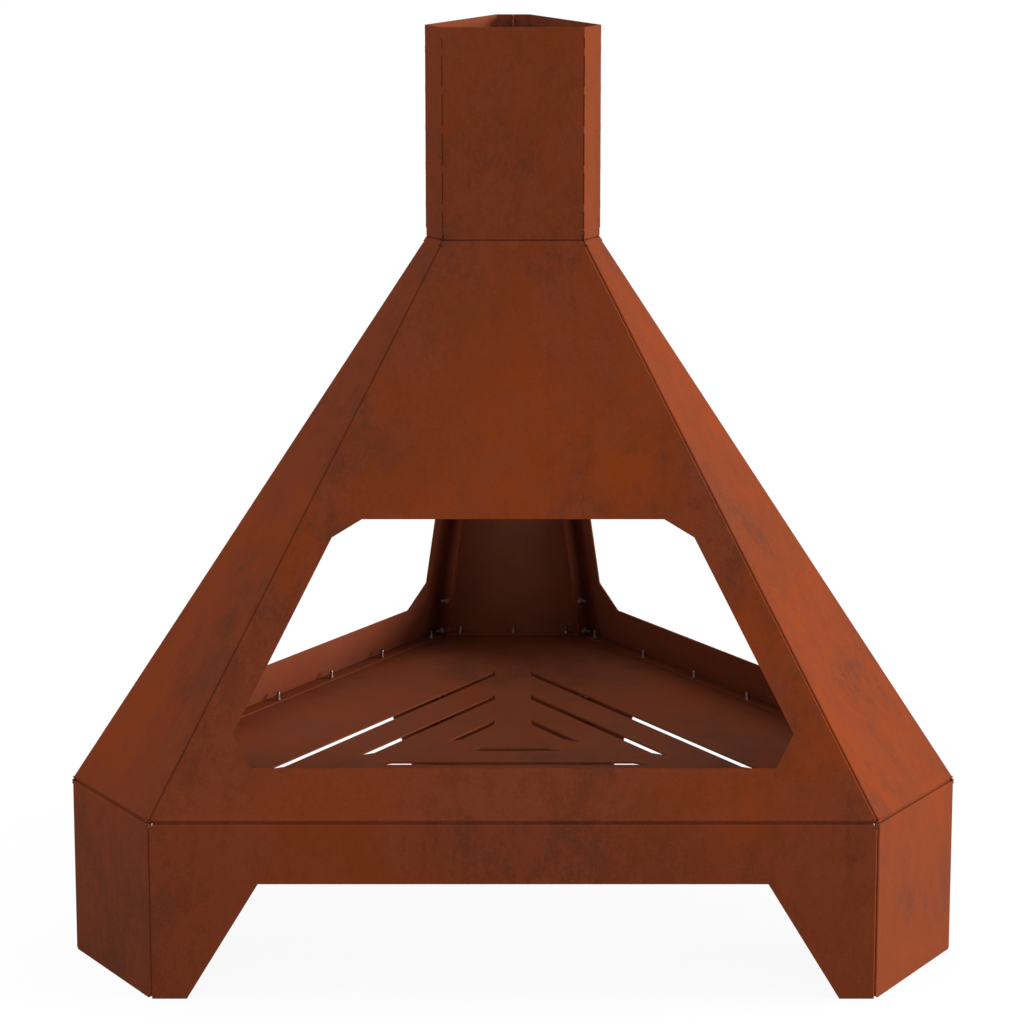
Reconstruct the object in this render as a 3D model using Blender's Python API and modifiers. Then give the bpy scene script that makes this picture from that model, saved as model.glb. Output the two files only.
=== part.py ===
"""Three-sided outdoor fireplace of folded weathering steel.

Its plan is an equilateral triangle with the corners cut off, so three wide sides alternate with
three narrow ones. A base stands on the ground, a slotted fire plate lies on it, and a hood leans
in above the plate to carry a chimney. Every panel is one flat sheet with flanges folded inwards,
and bolts through the flanges hold the panels together.

The front faces -Y and +Z is up. The origin is on the ground, at the middle of the outer box.
"""

import math
from dataclasses import dataclass

import bmesh
import bpy
from mathutils import Matrix, Vector

NAME = "brazier"

# Sheet, bends and the clearance between neighbouring pieces
SHEET = 0.002
PLATE_THICKNESS = 0.0025
BEND_RADIUS = 0.0024
BEND_STEPS = 3
GAP = 0.0003
OVERRUN = 0.010

# Side widths of the six-sided plan, along its sharp outer corners
BASE_WIDE = 1.000
BASE_NARROW = 0.254
FLUE_WIDE = 0.200
FLUE_NARROW = 0.0485

# Heights of the three tiers
BASE_HEIGHT = 0.250
HOOD_HEIGHT = 0.7509
FLUE_HEIGHT = 0.300

# Flanges: how deep each one is, measured from the sharp outer edge
RIM_DEPTH = 0.0275
COLLAR_DEPTH = 0.022
FLUE_TAB_DEPTH = 0.020
BASE_SEAM_DEPTH = 0.030
HOOD_SEAM_DEPTH_FOOT = 0.040
HOOD_SEAM_DEPTH_TOP = 0.020
FLUE_JOINT_DEPTH = 0.020
MITRE_GAP = 0.001

# Corners: where the bends stop, and the slots cut beside them
RIM_BEND_STOP = 0.008
BASE_SEAM_STOP_TOP = 0.007
HOOD_SEAM_STOP_FOOT = 0.005
HOOD_SEAM_STOP_TOP = 0.008
CORNER_CHAMFER = 0.0065
RELIEF_SLOT = 0.001
RELIEF_DEPTH = 0.001

# Leg cut-out of a wide base panel, which leaves a leg at each end
CUT_HEIGHT = 0.165
LEG_WIDTH_TOP = 0.150
LEG_WIDTH_FOOT = 0.050
CUT_HALF_TOP = BASE_WIDE / 2 - LEG_WIDTH_TOP
CUT_HALF_FOOT = BASE_WIDE / 2 - LEG_WIDTH_FOOT

# Opening of a wide hood panel, up the slope from the panel's foot
OPENING_FOOT = 0.075
OPENING_TOP = 0.425
OPENING_MARGIN = 0.050
FOOT_CHAMFER_ALONG = 0.0473
FOOT_CHAMFER_RISE = 0.0474
TOP_CHAMFER_ALONG = 0.029
TOP_CHAMFER_RISE = 0.026

# Fire plate: inset of its edge, and its three families of slots
PLATE_INSET = 0.004
SLOT_WIDTH = 0.0135
SLOT_FIRST = 0.0665
SLOT_PITCH = 0.073
SLOT_COUNT = 3
SPOKE_SETBACK = 0.056

# Perforated folds of the chimney: plain bands at its top and foot, and bridges between slits
FOLD_SLIT_WIDTH = 0.0028
FOLD_SLIT_DEPTH = 0.012
FOLD_TOP_BAND = 0.015
FOLD_FOOT_BAND = 0.016
FOLD_BRIDGE = 0.011
FOLD_BRIDGES = 5
FOLD_TOP_SLIT = 0.0135
FOLD_FOOT_SLIT = 0.0245
FLUE_NOTCH_HEIGHT = 0.013
FLUE_NOTCH_HALF = 0.002

# Bolts
BOLT_RADIUS = 0.003
BOLT_LENGTH = 0.020
HEAD_ACROSS = 0.010
HEAD_HEIGHT = 0.004
STUD_SINK = SHEET / 4
HOLE_SIDES = 6
HEX_SIDES = 6

# Bolt places: an end margin is the last bolt's distance from the side's corner
RIM_BOLT_INSET = 0.0215
RIM_BOLTS_EACH_WAY = 3
RIM_END_MARGIN = 0.050
RIM_BOLT_PITCH = (BASE_WIDE / 2 - RIM_END_MARGIN) / RIM_BOLTS_EACH_WAY
RIM_CORNER_END_MARGIN = 0.040
RIM_CORNER_BOLT = BASE_NARROW / 2 - RIM_CORNER_END_MARGIN
COLLAR_BOLT_INSET = 0.012
COLLAR_END_MARGIN = 0.040
COLLAR_BOLT = FLUE_WIDE / 2 - COLLAR_END_MARGIN

# Bolt places up a seam: from its foot, from its top, or as shares of its length
BASE_SEAM_BOLTS = (0.029, 0.150)
BASE_SEAM_BOLT_INSET = 0.018
HOOD_SEAM_FOOT_BOLTS = (0.033, 0.106)
HOOD_SEAM_MIDDLE_SHARE = 0.522
HOOD_SEAM_TOP_MARGIN = 0.070
SEAM_BOLT_SHARE = 0.675
FLUE_JOINT_SHARES = (1 / 6, 1 / 2, 5 / 6)
FLUE_JOINT_BOLT_INSET = 0.012
FLUE_JOINT_START = 0.020
FLUE_JOINT_STOP = 0.003

# Colours of the weathered steel and of the fasteners
RUST_FRONT = (0.150, 0.034, 0.014)
RUST_CORNER = (0.190, 0.048, 0.018)
RUST_PLATE = (0.100, 0.030, 0.016)
RUST_FLUE = (0.140, 0.032, 0.014)
BOLT_STEEL = (0.420, 0.400, 0.370)
RUST_ROUGHNESS = 0.85
RUST_METALLIC = 0.1
BOLT_ROUGHNESS = 0.45
BOLT_METALLIC = 0.9

MERGE_DISTANCE = GAP / 10
UP = Vector((0, 0, 1))
SIXTH = math.radians(60)
THIRD = math.radians(120)
WIDE_TURNS = {"front": 0, "right": THIRD, "left": -THIRD}
NARROW_TURNS = {"back": math.pi, "right": SIXTH, "left": -SIXTH}


def wide_out(wide, narrow):
    """Distance from the centre line to a wide side of the plan."""
    return (wide + 2 * narrow) / (2 * math.sqrt(3))


def narrow_out(wide, narrow):
    """Distance from the centre line to a narrow side of the plan."""
    return (2 * wide + narrow) / (2 * math.sqrt(3))


@dataclass
class Side:
    """One flat side of a tier, facing -Y before it is turned into place.

    Panel coordinates are x to the right, v up the slope from the sharp foot edge, and w outwards.
    """

    half_foot: float
    half_top: float
    out_foot: float
    out_top: float
    foot_z: float
    height: float

    @property
    def lean(self):
        return math.atan2(self.out_foot - self.out_top, self.height)

    @property
    def slant(self):
        return math.hypot(self.out_foot - self.out_top, self.height)

    @property
    def normal(self):
        return Vector((0, -math.cos(self.lean), math.sin(self.lean)))

    @property
    def matrix(self):
        """Panel coordinates to the centred frame, for the side that faces -Y."""
        slope = Vector((0, math.sin(self.lean), math.cos(self.lean)))
        axes = Matrix((Vector((1, 0, 0)), slope, self.normal)).transposed().to_4x4()
        return Matrix.Translation((0, -self.out_foot, self.foot_z)) @ axes

    @property
    def seam_along(self):
        return Vector((self.half_top - self.half_foot, self.slant, 0)).normalized()

    @property
    def seam_length(self):
        return math.hypot(self.half_top - self.half_foot, self.slant)

    @property
    def seam_lean_slope(self):
        """Tangent of the corner line's lean from the vertical."""
        run = Vector((self.half_foot, self.out_foot)) - Vector((self.half_top, self.out_top))
        return run.length / self.height


def tier_sides(plan_foot, plan_top, foot_z, height):
    """The wide and the narrow side of a tier whose plans are (wide, narrow) widths."""
    wide = Side(plan_foot[0] / 2, plan_top[0] / 2, wide_out(*plan_foot), wide_out(*plan_top),
                foot_z, height)
    narrow = Side(plan_foot[1] / 2, plan_top[1] / 2, narrow_out(*plan_foot),
                  narrow_out(*plan_top), foot_z, height)
    return wide, narrow


PLATE_Z = BASE_HEIGHT + GAP
HOOD_Z = PLATE_Z + PLATE_THICKNESS + GAP
HOOD_TOP = HOOD_Z + HOOD_HEIGHT
FLUE_Z = HOOD_TOP + GAP
BASE_PLAN = (BASE_WIDE, BASE_NARROW)
FLUE_PLAN = (FLUE_WIDE, FLUE_NARROW)
BASE_SIDES = tier_sides(BASE_PLAN, BASE_PLAN, 0, BASE_HEIGHT)
HOOD_SIDES = tier_sides(BASE_PLAN, FLUE_PLAN, HOOD_Z, HOOD_HEIGHT)
FLUE_SIDES = tier_sides(FLUE_PLAN, FLUE_PLAN, FLUE_Z, FLUE_HEIGHT)

# The plan's centre line stands in front of the middle of the outer box
CENTRE_Y = (wide_out(*BASE_PLAN) - narrow_out(*BASE_PLAN)) / 2


@dataclass
class Fold:
    """A flange folded inwards along one edge of a side.

    origin and along give the sharp edge in panel coordinates, with the sheet on its left. first
    and last are distances along it. Each depth is measured from the sharp edge, and each skew
    moves the flange's free corner along the edge.
    """

    origin: Vector
    along: Vector
    first: float
    last: float
    turn: float
    depth_first: float
    depth_last: float
    skew_first: float = 0
    skew_last: float = 0

    @property
    def setback(self):
        return BEND_RADIUS * math.tan(self.turn / 2)

    @property
    def inward(self):
        return UP.cross(self.along)

    @property
    def flange_way(self):
        """Direction in which the flange runs away from the sharp edge."""
        return -math.sin(self.turn) * UP - math.cos(self.turn) * self.inward

    @property
    def flange_normal(self):
        """Direction that the flange's outer face looks in."""
        return math.cos(self.turn) * UP - math.sin(self.turn) * self.inward

    def place(self, distance, inset):
        """The point at a distance along the edge and an inset into the sheet."""
        return self.origin + self.along * distance + self.inward * inset


def rim_fold_turn(side, at_top):
    """A level flange's fold, on a side that leans."""
    return math.pi / 2 + (-side.lean if at_top else side.lean)


def seam_turn(sides):
    """A seam flange's fold, which brings it half way between its two sides."""
    wide, narrow = sides
    between = wide.normal.angle(Matrix.Rotation(SIXTH, 3, "Z") @ narrow.normal)
    return (math.pi + between) / 2


def foot_fold(side, depth):
    """Level flange along the right half of a side's foot."""
    last = side.half_foot - RIM_BEND_STOP
    skew = RIM_BEND_STOP - depth / math.tan(SIXTH) - MITRE_GAP
    return Fold(Vector((0, 0, 0)), Vector((1, 0, 0)), 0, last, rim_fold_turn(side, False),
                depth, depth, skew_last=skew)


def top_fold(side, depth):
    """Level flange along the right half of a side's top."""
    origin = Vector((side.half_top, side.slant, 0))
    skew = depth / math.tan(SIXTH) + MITRE_GAP - RIM_BEND_STOP
    return Fold(origin, Vector((-1, 0, 0)), RIM_BEND_STOP, side.half_top,
                rim_fold_turn(side, True), depth, depth, skew_first=skew)


def seam_fold(side, turn, stops, depths):
    """Flange along the right-hand seam, cut level at both ends."""
    inset = GAP / 2 / math.sin(turn)
    along = side.seam_along
    origin = Vector((side.half_foot, 0, 0)) + UP.cross(along) * inset
    fold = Fold(origin, along, stops[0], side.seam_length - stops[1], turn, *depths)
    fold.skew_first = (depths[0] - fold.setback) * side.seam_lean_slope
    fold.skew_last = (depths[1] - fold.setback) * side.seam_lean_slope
    return fold


def seam_edge_inset(turn):
    """How far a square-cut edge stays back from the seam so as to clear its neighbour."""
    corner = math.pi - turn
    return SHEET / math.tan(corner)


def relief_slot(fold, at_last, edge_inset):
    """Outline points beside a fold's end, where a slot parts the bend from the flat corner."""
    end = fold.last if at_last else fold.first
    beside = end + (RELIEF_SLOT if at_last else -RELIEF_SLOT)
    deep = fold.setback + RELIEF_DEPTH
    points = [fold.place(end, fold.setback), fold.place(end, deep), fold.place(beside, deep),
              fold.place(beside, edge_inset)]
    return points if at_last else points[::-1]


def level_crossing(point, along, v):
    """Where a line through a point reaches the height v in the panel."""
    return point + along * ((v - point.y) / along.y)


def seam_outline(side, fold, foot_ear, top_v):
    """Outline up the right-hand seam; foot_ear is the flat corner's level, or None without one."""
    inset = seam_edge_inset(fold.turn)
    line = fold.place(0, inset)
    points = []
    if foot_ear is None:
        points.append(fold.place(fold.first, fold.setback))
    else:
        points.append(level_crossing(line, fold.along, foot_ear))
        points += relief_slot(fold, False, inset)
    points += relief_slot(fold, True, inset)
    points.append(level_crossing(line, fold.along, top_v))
    return points


def new_verts(bm, known):
    return [vert for vert in bm.verts if vert not in known]


def add_flange(bm, fold):
    """Spin the bend from the sheet's edge, then run the flange straight to its free edge."""
    ends = [fold.place(at, fold.setback) for at in (fold.first, fold.last)]
    verts = [min(bm.verts, key=lambda vert: (vert.co - end).length) for end in ends]
    bend = bmesh.ops.spin(bm, geom=[bm.edges.get(verts)], cent=ends[0] - UP * BEND_RADIUS,
                          axis=fold.along, angle=fold.turn, steps=BEND_STEPS)
    bent = [item for item in bend["geom_last"] if isinstance(item, bmesh.types.BMEdge)]
    run = bmesh.ops.extrude_edge_only(bm, edges=bent)
    middle = (fold.first + fold.last) / 2
    for vert in (item for item in run["geom"] if isinstance(item, bmesh.types.BMVert)):
        is_first = (vert.co - fold.origin).dot(fold.along) < middle
        depth = fold.depth_first if is_first else fold.depth_last
        skew = fold.skew_first if is_first else fold.skew_last
        vert.co += fold.flange_way * (depth - fold.setback) + fold.along * skew


def add_side(bm, outline, folds, matrix):
    """Add one flat side with its flanges, then carry it from panel coordinates into place."""
    known = set(bm.verts)
    bm.faces.new([bm.verts.new(point) for point in outline])
    for fold in folds:
        add_flange(bm, fold)
    bmesh.ops.transform(bm, matrix=matrix, verts=new_verts(bm, known))


def finish_surface(bm, name, outward):
    """Turn the surface into mesh data, with its first face, and so all, looking outwards."""
    bmesh.ops.remove_doubles(bm, verts=bm.verts, dist=MERGE_DISTANCE)
    bmesh.ops.recalc_face_normals(bm, faces=bm.faces)
    bm.normal_update()
    bm.faces.ensure_lookup_table()
    if bm.faces[0].normal.dot(outward) < 0:
        bmesh.ops.reverse_faces(bm, faces=bm.faces)
    mesh = bpy.data.meshes.new(name)
    bm.to_mesh(mesh)
    bm.free()
    return mesh


def panel_mesh(name, side, outline, folds):
    """The right half of one panel, open at its middle plane."""
    bm = bmesh.new()
    add_side(bm, outline, folds, side.matrix)
    return finish_surface(bm, name, side.normal)


def base_panel_mesh(wide):
    """Half a base panel: a wide one is cut out into legs, a narrow one keeps its foot."""
    side = BASE_SIDES[0 if wide else 1]
    foot_stop = 0 if wide else CORNER_CHAMFER
    seam = seam_fold(side, seam_turn(BASE_SIDES), (foot_stop, BASE_SEAM_STOP_TOP),
                     (BASE_SEAM_DEPTH, BASE_SEAM_DEPTH))
    top = top_fold(side, RIM_DEPTH)
    if wide:
        outline = [Vector((0, CUT_HEIGHT, 0)), Vector((CUT_HALF_TOP, CUT_HEIGHT, 0)),
                   Vector((CUT_HALF_FOOT, 0, 0))]
    else:
        outline = [Vector((0, 0, 0)), seam.place(0, seam.setback + CORNER_CHAMFER)]
    outline += seam_outline(side, seam, None, side.slant)
    outline += relief_slot(top, False, 0)
    outline.append(top.place(top.last, top.setback))
    return panel_mesh("wide_base" if wide else "narrow_base", side, outline, [seam, top])


def hood_opening(side):
    """Right half of the chamfered opening, from the middle of its top to the middle of its foot."""
    slope = side.seam_along.x / side.seam_along.y
    margin = OPENING_MARGIN / side.seam_along.y

    def edge(v):
        return side.half_foot + slope * v - margin

    lower = OPENING_FOOT + FOOT_CHAMFER_RISE
    upper = OPENING_TOP - TOP_CHAMFER_RISE
    return [Vector((0, OPENING_TOP, 0)),
            Vector((edge(OPENING_TOP) - TOP_CHAMFER_ALONG, OPENING_TOP, 0)),
            Vector((edge(upper), upper, 0)),
            Vector((edge(lower), lower, 0)),
            Vector((edge(OPENING_FOOT) - FOOT_CHAMFER_ALONG, OPENING_FOOT, 0)),
            Vector((0, OPENING_FOOT, 0))]


def hood_panel_mesh(wide):
    """Half a hood panel: a wide one has the opening, a narrow one is plain."""
    side = HOOD_SIDES[0 if wide else 1]
    foot = foot_fold(side, RIM_DEPTH)
    seam = seam_fold(side, seam_turn(HOOD_SIDES), (HOOD_SEAM_STOP_FOOT, HOOD_SEAM_STOP_TOP),
                     (HOOD_SEAM_DEPTH_FOOT, HOOD_SEAM_DEPTH_TOP))
    top = top_fold(side, COLLAR_DEPTH)
    foot_ear = SHEET * math.tan(side.lean)
    outline = [foot.place(0, foot.setback)]
    outline += relief_slot(foot, True, foot_ear)
    outline += seam_outline(side, seam, foot_ear, side.slant)
    outline += relief_slot(top, False, 0)
    outline.append(top.place(top.last, top.setback))
    if wide:
        outline += hood_opening(side)
    return panel_mesh("wide_hood" if wide else "narrow_hood", side, outline, [foot, seam, top])


def flue_tab(side, first, last, mitre_first, mitre_last):
    """Level tab at a chimney side's foot, between two distances from the side's middle."""
    mitre = FLUE_TAB_DEPTH / math.tan(SIXTH) + MITRE_GAP - FLUE_NOTCH_HALF
    return Fold(Vector((0, 0, 0)), Vector((1, 0, 0)), first, last, rim_fold_turn(side, False),
                FLUE_TAB_DEPTH, FLUE_TAB_DEPTH, mitre if mitre_first else 0,
                -mitre if mitre_last else 0)


def notched_end(x, toward, setback, height):
    """Outline up a chimney side's folded edge, past the notch at its foot."""
    inner = x - toward * FLUE_NOTCH_HALF
    return [Vector((inner, setback, 0)), Vector((inner, FLUE_NOTCH_HEIGHT, 0)),
            Vector((x, FLUE_NOTCH_HEIGHT, 0)), Vector((x, height, 0))]


def flue_mesh():
    """Right half of the chimney sheet: four sides round to the joint behind."""
    bm = bmesh.new()
    wide, narrow = FLUE_SIDES
    for side, turn, half in ((wide, 0, True), (narrow, SIXTH, False), (wide, THIRD, False)):
        first = 0 if half else FLUE_NOTCH_HALF - side.half_foot
        tab = flue_tab(side, first, side.half_foot - FLUE_NOTCH_HALF, not half, True)
        outline = notched_end(side.half_foot, 1, tab.setback, side.height)
        if half:
            outline += [Vector((0, side.height, 0)), Vector((0, tab.setback, 0))]
        else:
            outline += notched_end(-side.half_foot, -1, tab.setback, side.height)[::-1]
        add_side(bm, outline, [tab], Matrix.Rotation(turn, 4, "Z") @ side.matrix)
    joint = Fold(Vector((-GAP / 2, 0, 0)), Vector((0, 1, 0)), FLUE_JOINT_START,
                 narrow.height - FLUE_JOINT_STOP, math.pi / 2, FLUE_JOINT_DEPTH,
                 FLUE_JOINT_DEPTH)
    edge_x = joint.place(0, joint.setback).x
    tab = flue_tab(narrow, FLUE_NOTCH_HALF - narrow.half_foot, edge_x, True, False)
    outline = [Vector((edge_x, tab.setback, 0)), joint.place(joint.first, joint.setback),
               joint.place(joint.last, joint.setback), Vector((edge_x, narrow.height, 0))]
    outline += notched_end(-narrow.half_foot, -1, tab.setback, narrow.height)[::-1]
    add_side(bm, outline, [tab, joint], Matrix.Rotation(math.pi, 4, "Z") @ narrow.matrix)
    return finish_surface(bm, "chimney", wide.normal)


def prism(bm, outline, matrix, depth):
    """Closed prism from a flat outline in the matrix's XY plane, reaching depth both ways."""
    known = set(bm.verts)
    face = bm.faces.new([bm.verts.new(Vector(point) - UP * depth) for point in outline])
    region = bmesh.ops.extrude_face_region(bm, geom=[face])
    raised = [item for item in region["geom"] if isinstance(item, bmesh.types.BMVert)]
    bmesh.ops.translate(bm, verts=raised, vec=UP * depth * 2)
    verts = new_verts(bm, known)
    bmesh.ops.transform(bm, matrix=matrix, verts=verts)
    faces = {face for vert in verts for face in vert.link_faces}
    bmesh.ops.recalc_face_normals(bm, faces=list(faces))


def plan_corners(wide, narrow, inset):
    """Corners of the six-sided plan, its sides moved in by an inset."""
    wide_at = wide_out(wide, narrow) - inset
    narrow_at = narrow_out(wide, narrow) - inset
    half_wide = (2 * narrow_at - wide_at) / math.sqrt(3)
    corners = []
    for turn in (0, THIRD, -THIRD):
        spin = Matrix.Rotation(turn, 3, "Z")
        corners += [spin @ Vector((x, -wide_at, 0)) for x in (-half_wide, half_wide)]
    return corners


def plate_mesh():
    """The fire plate's lower face."""
    corners = plan_corners(BASE_WIDE, BASE_NARROW, PLATE_INSET)
    bm = bmesh.new()
    bm.faces.new([bm.verts.new(corner + UP * PLATE_Z) for corner in corners])
    return finish_surface(bm, "fire_plate", -UP)


def plate_slots(bm):
    """Three families of slots, each parallel to a wide side and ending at the spokes."""
    for turn in WIDE_TURNS.values():
        for number in range(SLOT_COUNT):
            middle = SLOT_FIRST + SLOT_PITCH * number
            near = middle - SLOT_WIDTH / 2
            far = middle + SLOT_WIDTH / 2
            half_near = math.sqrt(3) * near - SPOKE_SETBACK
            half_far = math.sqrt(3) * far - SPOKE_SETBACK
            outline = [(-half_far, -far, 0), (half_far, -far, 0), (half_near, -near, 0),
                       (-half_near, -near, 0)]
            matrix = Matrix.Translation((0, 0, PLATE_Z)) @ Matrix.Rotation(turn, 4, "Z")
            prism(bm, outline, matrix, OVERRUN)


def fold_slits(bm):
    """Slits that perforate the chimney's six folds."""
    corners = plan_corners(FLUE_WIDE, FLUE_NARROW, 0)
    first = FOLD_TOP_BAND + FOLD_TOP_SLIT + FOLD_BRIDGE / 2
    last = FLUE_HEIGHT - FOLD_FOOT_BAND - FOLD_FOOT_SLIT - FOLD_BRIDGE / 2
    pitch = (last - first) / (FOLD_BRIDGES - 1)
    bridges = [first + pitch * number for number in range(FOLD_BRIDGES)]
    starts = [FOLD_TOP_BAND] + [bridge + FOLD_BRIDGE / 2 for bridge in bridges]
    ends = [bridge - FOLD_BRIDGE / 2 for bridge in bridges] + [FLUE_HEIGHT - FOLD_FOOT_BAND]
    for corner in corners:
        for start, end in zip(starts, ends):
            size = Matrix.Diagonal((FOLD_SLIT_DEPTH, FOLD_SLIT_WIDTH, end - start, 1))
            height = FLUE_Z + FLUE_HEIGHT - (start + end) / 2
            turned = Matrix.Rotation(math.atan2(corner.y, corner.x), 4, "Z")
            matrix = Matrix.Translation(corner + UP * height) @ turned @ size
            bmesh.ops.create_cube(bm, size=1, matrix=matrix)


def along_z(point, direction):
    """Matrix that carries the Z axis onto a direction through a point."""
    turn = UP.rotation_difference(direction)
    return Matrix.Translation(point) @ turn.to_matrix().to_4x4()


def rim_places():
    """Rim bolts, upright, at the height of the plate."""
    points = []
    for turn in WIDE_TURNS.values():
        for number in range(-RIM_BOLTS_EACH_WAY, RIM_BOLTS_EACH_WAY + 1):
            place = Vector((RIM_BOLT_PITCH * number, RIM_BOLT_INSET - BASE_SIDES[0].out_foot, 0))
            points.append(Matrix.Rotation(turn, 3, "Z") @ place)
    for turn in NARROW_TURNS.values():
        for x in (-RIM_CORNER_BOLT, 0, RIM_CORNER_BOLT):
            place = Vector((x, RIM_BOLT_INSET - BASE_SIDES[1].out_foot, 0))
            points.append(Matrix.Rotation(turn, 3, "Z") @ place)
    return [(point + UP * PLATE_Z, UP) for point in points]


def collar_places(side, turn):
    """Upright bolts from one side of the hood into the chimney, at the hood's top."""
    wide = side is FLUE_SIDES[0]
    places = []
    for x in (-COLLAR_BOLT, COLLAR_BOLT) if wide else (0,):
        place = Vector((x, COLLAR_BOLT_INSET - side.out_foot, HOOD_TOP))
        places.append((Matrix.Rotation(turn, 3, "Z") @ place, UP))
    return places


def all_collar_places():
    """Collar bolts of every side but the one behind, where the chimney has its joint."""
    wide, narrow = FLUE_SIDES
    places = [place for turn in WIDE_TURNS.values() for place in collar_places(wide, turn)]
    for name in ("right", "left"):
        places += collar_places(narrow, NARROW_TURNS[name])
    return places


def seam_places(sides, ups_and_insets, corner_turn):
    """Bolts through the two seams of a narrow side: each one's point and direction.

    A bolt is headed on the narrow side and points into the wide one.
    """
    wide = sides[0]
    turn = seam_turn(sides)
    fold = Fold(Vector((wide.half_foot, 0, 0)), wide.seam_along, 0, wide.seam_length, turn, 0, 0)
    axes = wide.matrix.to_3x3()
    places = []
    for up, inset in ups_and_insets:
        point = wide.matrix @ (fold.place(up, 0) + fold.flange_way * inset)
        direction = axes @ -fold.flange_normal
        for mirror in (1, -1):
            flip = Matrix.Diagonal((mirror, 1, 1))
            spin = Matrix.Rotation(corner_turn - mirror * SIXTH, 3, "Z")
            places.append((spin @ flip @ point, spin @ flip @ direction))
    return places


def base_seam_places(corner_turn):
    ups_and_insets = [(up, BASE_SEAM_BOLT_INSET) for up in BASE_SEAM_BOLTS]
    return seam_places(BASE_SIDES, ups_and_insets, corner_turn)


def hood_seam_places(corner_turn):
    """Seam bolts keep the same share of the tapering flange's depth."""
    length = HOOD_SIDES[0].seam_length
    ups = [*HOOD_SEAM_FOOT_BOLTS, length * HOOD_SEAM_MIDDLE_SHARE, length - HOOD_SEAM_TOP_MARGIN]
    taper = (HOOD_SEAM_DEPTH_TOP - HOOD_SEAM_DEPTH_FOOT) / length
    insets = [SEAM_BOLT_SHARE * (HOOD_SEAM_DEPTH_FOOT + taper * up) for up in ups]
    return seam_places(HOOD_SIDES, list(zip(ups, insets)), corner_turn)


def round_corners(places):
    """The places at all three narrow sides."""
    return [place for turn in NARROW_TURNS.values() for place in places(turn)]


def joint_places():
    """Bolts through the chimney sheet's own joint, headed on its left."""
    y = FLUE_SIDES[1].out_foot - FLUE_JOINT_BOLT_INSET
    heights = [FLUE_Z + FLUE_HEIGHT * share for share in FLUE_JOINT_SHARES]
    return [(Vector((0, y, height)), Vector((1, 0, 0))) for height in heights]


def drill(bm, places):
    """Clearance holes, with flats that clear the bolt's corners."""
    radius = (BOLT_RADIUS + GAP) / math.cos(math.pi / HOLE_SIDES)
    for point, direction in places:
        bmesh.ops.create_cone(bm, cap_ends=True, segments=HOLE_SIDES, radius1=radius,
                              radius2=radius, depth=OVERRUN, matrix=along_z(point, direction))


def bolt_mesh():
    """Hexagonal head below the bearing face at the origin, and a shank above it."""
    bm = bmesh.new()
    radius = HEAD_ACROSS / 2 / math.cos(math.pi / HEX_SIDES)
    section = [(0, -HEAD_HEIGHT), (radius, -HEAD_HEIGHT), (radius, 0), (BOLT_RADIUS, 0),
               (BOLT_RADIUS, BOLT_LENGTH), (0, BOLT_LENGTH)]
    verts = [bm.verts.new((out, 0, up)) for out, up in section]
    edges = [bm.edges.new(pair) for pair in zip(verts, verts[1:])]
    bmesh.ops.spin(bm, geom=edges, cent=(0, 0, 0), axis=UP, angle=2 * math.pi, steps=HEX_SIDES)
    bmesh.ops.remove_doubles(bm, verts=bm.verts, dist=MERGE_DISTANCE)
    bmesh.ops.recalc_face_normals(bm, faces=bm.faces)
    mesh = bpy.data.meshes.new("bolt")
    bm.to_mesh(mesh)
    bm.free()
    return mesh


def fill_with_bolts(bm, places, shift):
    """Copies of the bolt, each moved along its direction by a shift."""
    mesh = bolt_mesh()
    for point, direction in places:
        known = set(bm.verts)
        bm.from_mesh(mesh)
        matrix = along_z(point + direction * shift, direction)
        bmesh.ops.transform(bm, matrix=matrix, verts=new_verts(bm, known))
    bpy.data.meshes.remove(mesh)


def material(name, colour, roughness, metallic):
    """A Principled material of one object's own."""
    made = bpy.data.materials.new(name)
    made.use_nodes = True
    shader = made.node_tree.nodes["Principled BSDF"]
    shader.inputs["Base Color"].default_value = (*colour, 1)
    shader.inputs["Roughness"].default_value = roughness
    shader.inputs["Metallic"].default_value = metallic
    return made


def remove_everything():
    for item in list(bpy.data.objects):
        bpy.data.objects.remove(item, do_unlink=True)


def collection(name):
    made = bpy.data.collections.new(name)
    bpy.context.scene.collection.children.link(made)
    return made


def add_object(name, mesh, parts, centre, turn, colour, roughness=RUST_ROUGHNESS,
               metallic=RUST_METALLIC):
    """An object of one material, turned about the centre line."""
    item = bpy.data.objects.new(name, mesh)
    item.parent = centre
    item.rotation_euler.z = turn
    parts.objects.link(item)
    if not mesh.materials:
        mesh.materials.append(None)
    item.material_slots[0].link = "OBJECT"
    item.material_slots[0].material = material(name, colour, roughness, metallic)
    return item


def cutter(name, build, cutters, centre):
    """A guide object that is only used to cut, built by a function that fills a mesh."""
    bm = bmesh.new()
    build(bm)
    mesh = bpy.data.meshes.new(name)
    bm.to_mesh(mesh)
    bm.free()
    item = bpy.data.objects.new(name, mesh)
    item.parent = centre
    item.hide_render = True
    item.display_type = "WIRE"
    cutters.objects.link(item)
    return item


def mirrored(item):
    modifier = item.modifiers.new("both halves", "MIRROR")
    modifier.merge_threshold = MERGE_DISTANCE


def thickened(item, thickness):
    modifier = item.modifiers.new("sheet", "SOLIDIFY")
    modifier.thickness = thickness
    modifier.offset = -1
    modifier.use_even_offset = True
    modifier.use_quality_normals = True


def combine(item, tools, operation="DIFFERENCE"):
    for tool in tools:
        modifier = item.modifiers.new(tool.name, "BOOLEAN")
        modifier.operation = operation
        modifier.solver = "EXACT"
        modifier.object = tool


def separate_bolts(word, places, shift, parts, centre):
    """One object for each bolt, all of one mesh."""
    mesh = bolt_mesh()
    for number, (point, direction) in enumerate(places, 1):
        item = add_object(f"{word}_{number:02}", mesh, parts, centre, 0, BOLT_STEEL,
                          BOLT_ROUGHNESS, BOLT_METALLIC)
        item.matrix_basis = along_z(point + direction * shift, direction)


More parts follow.
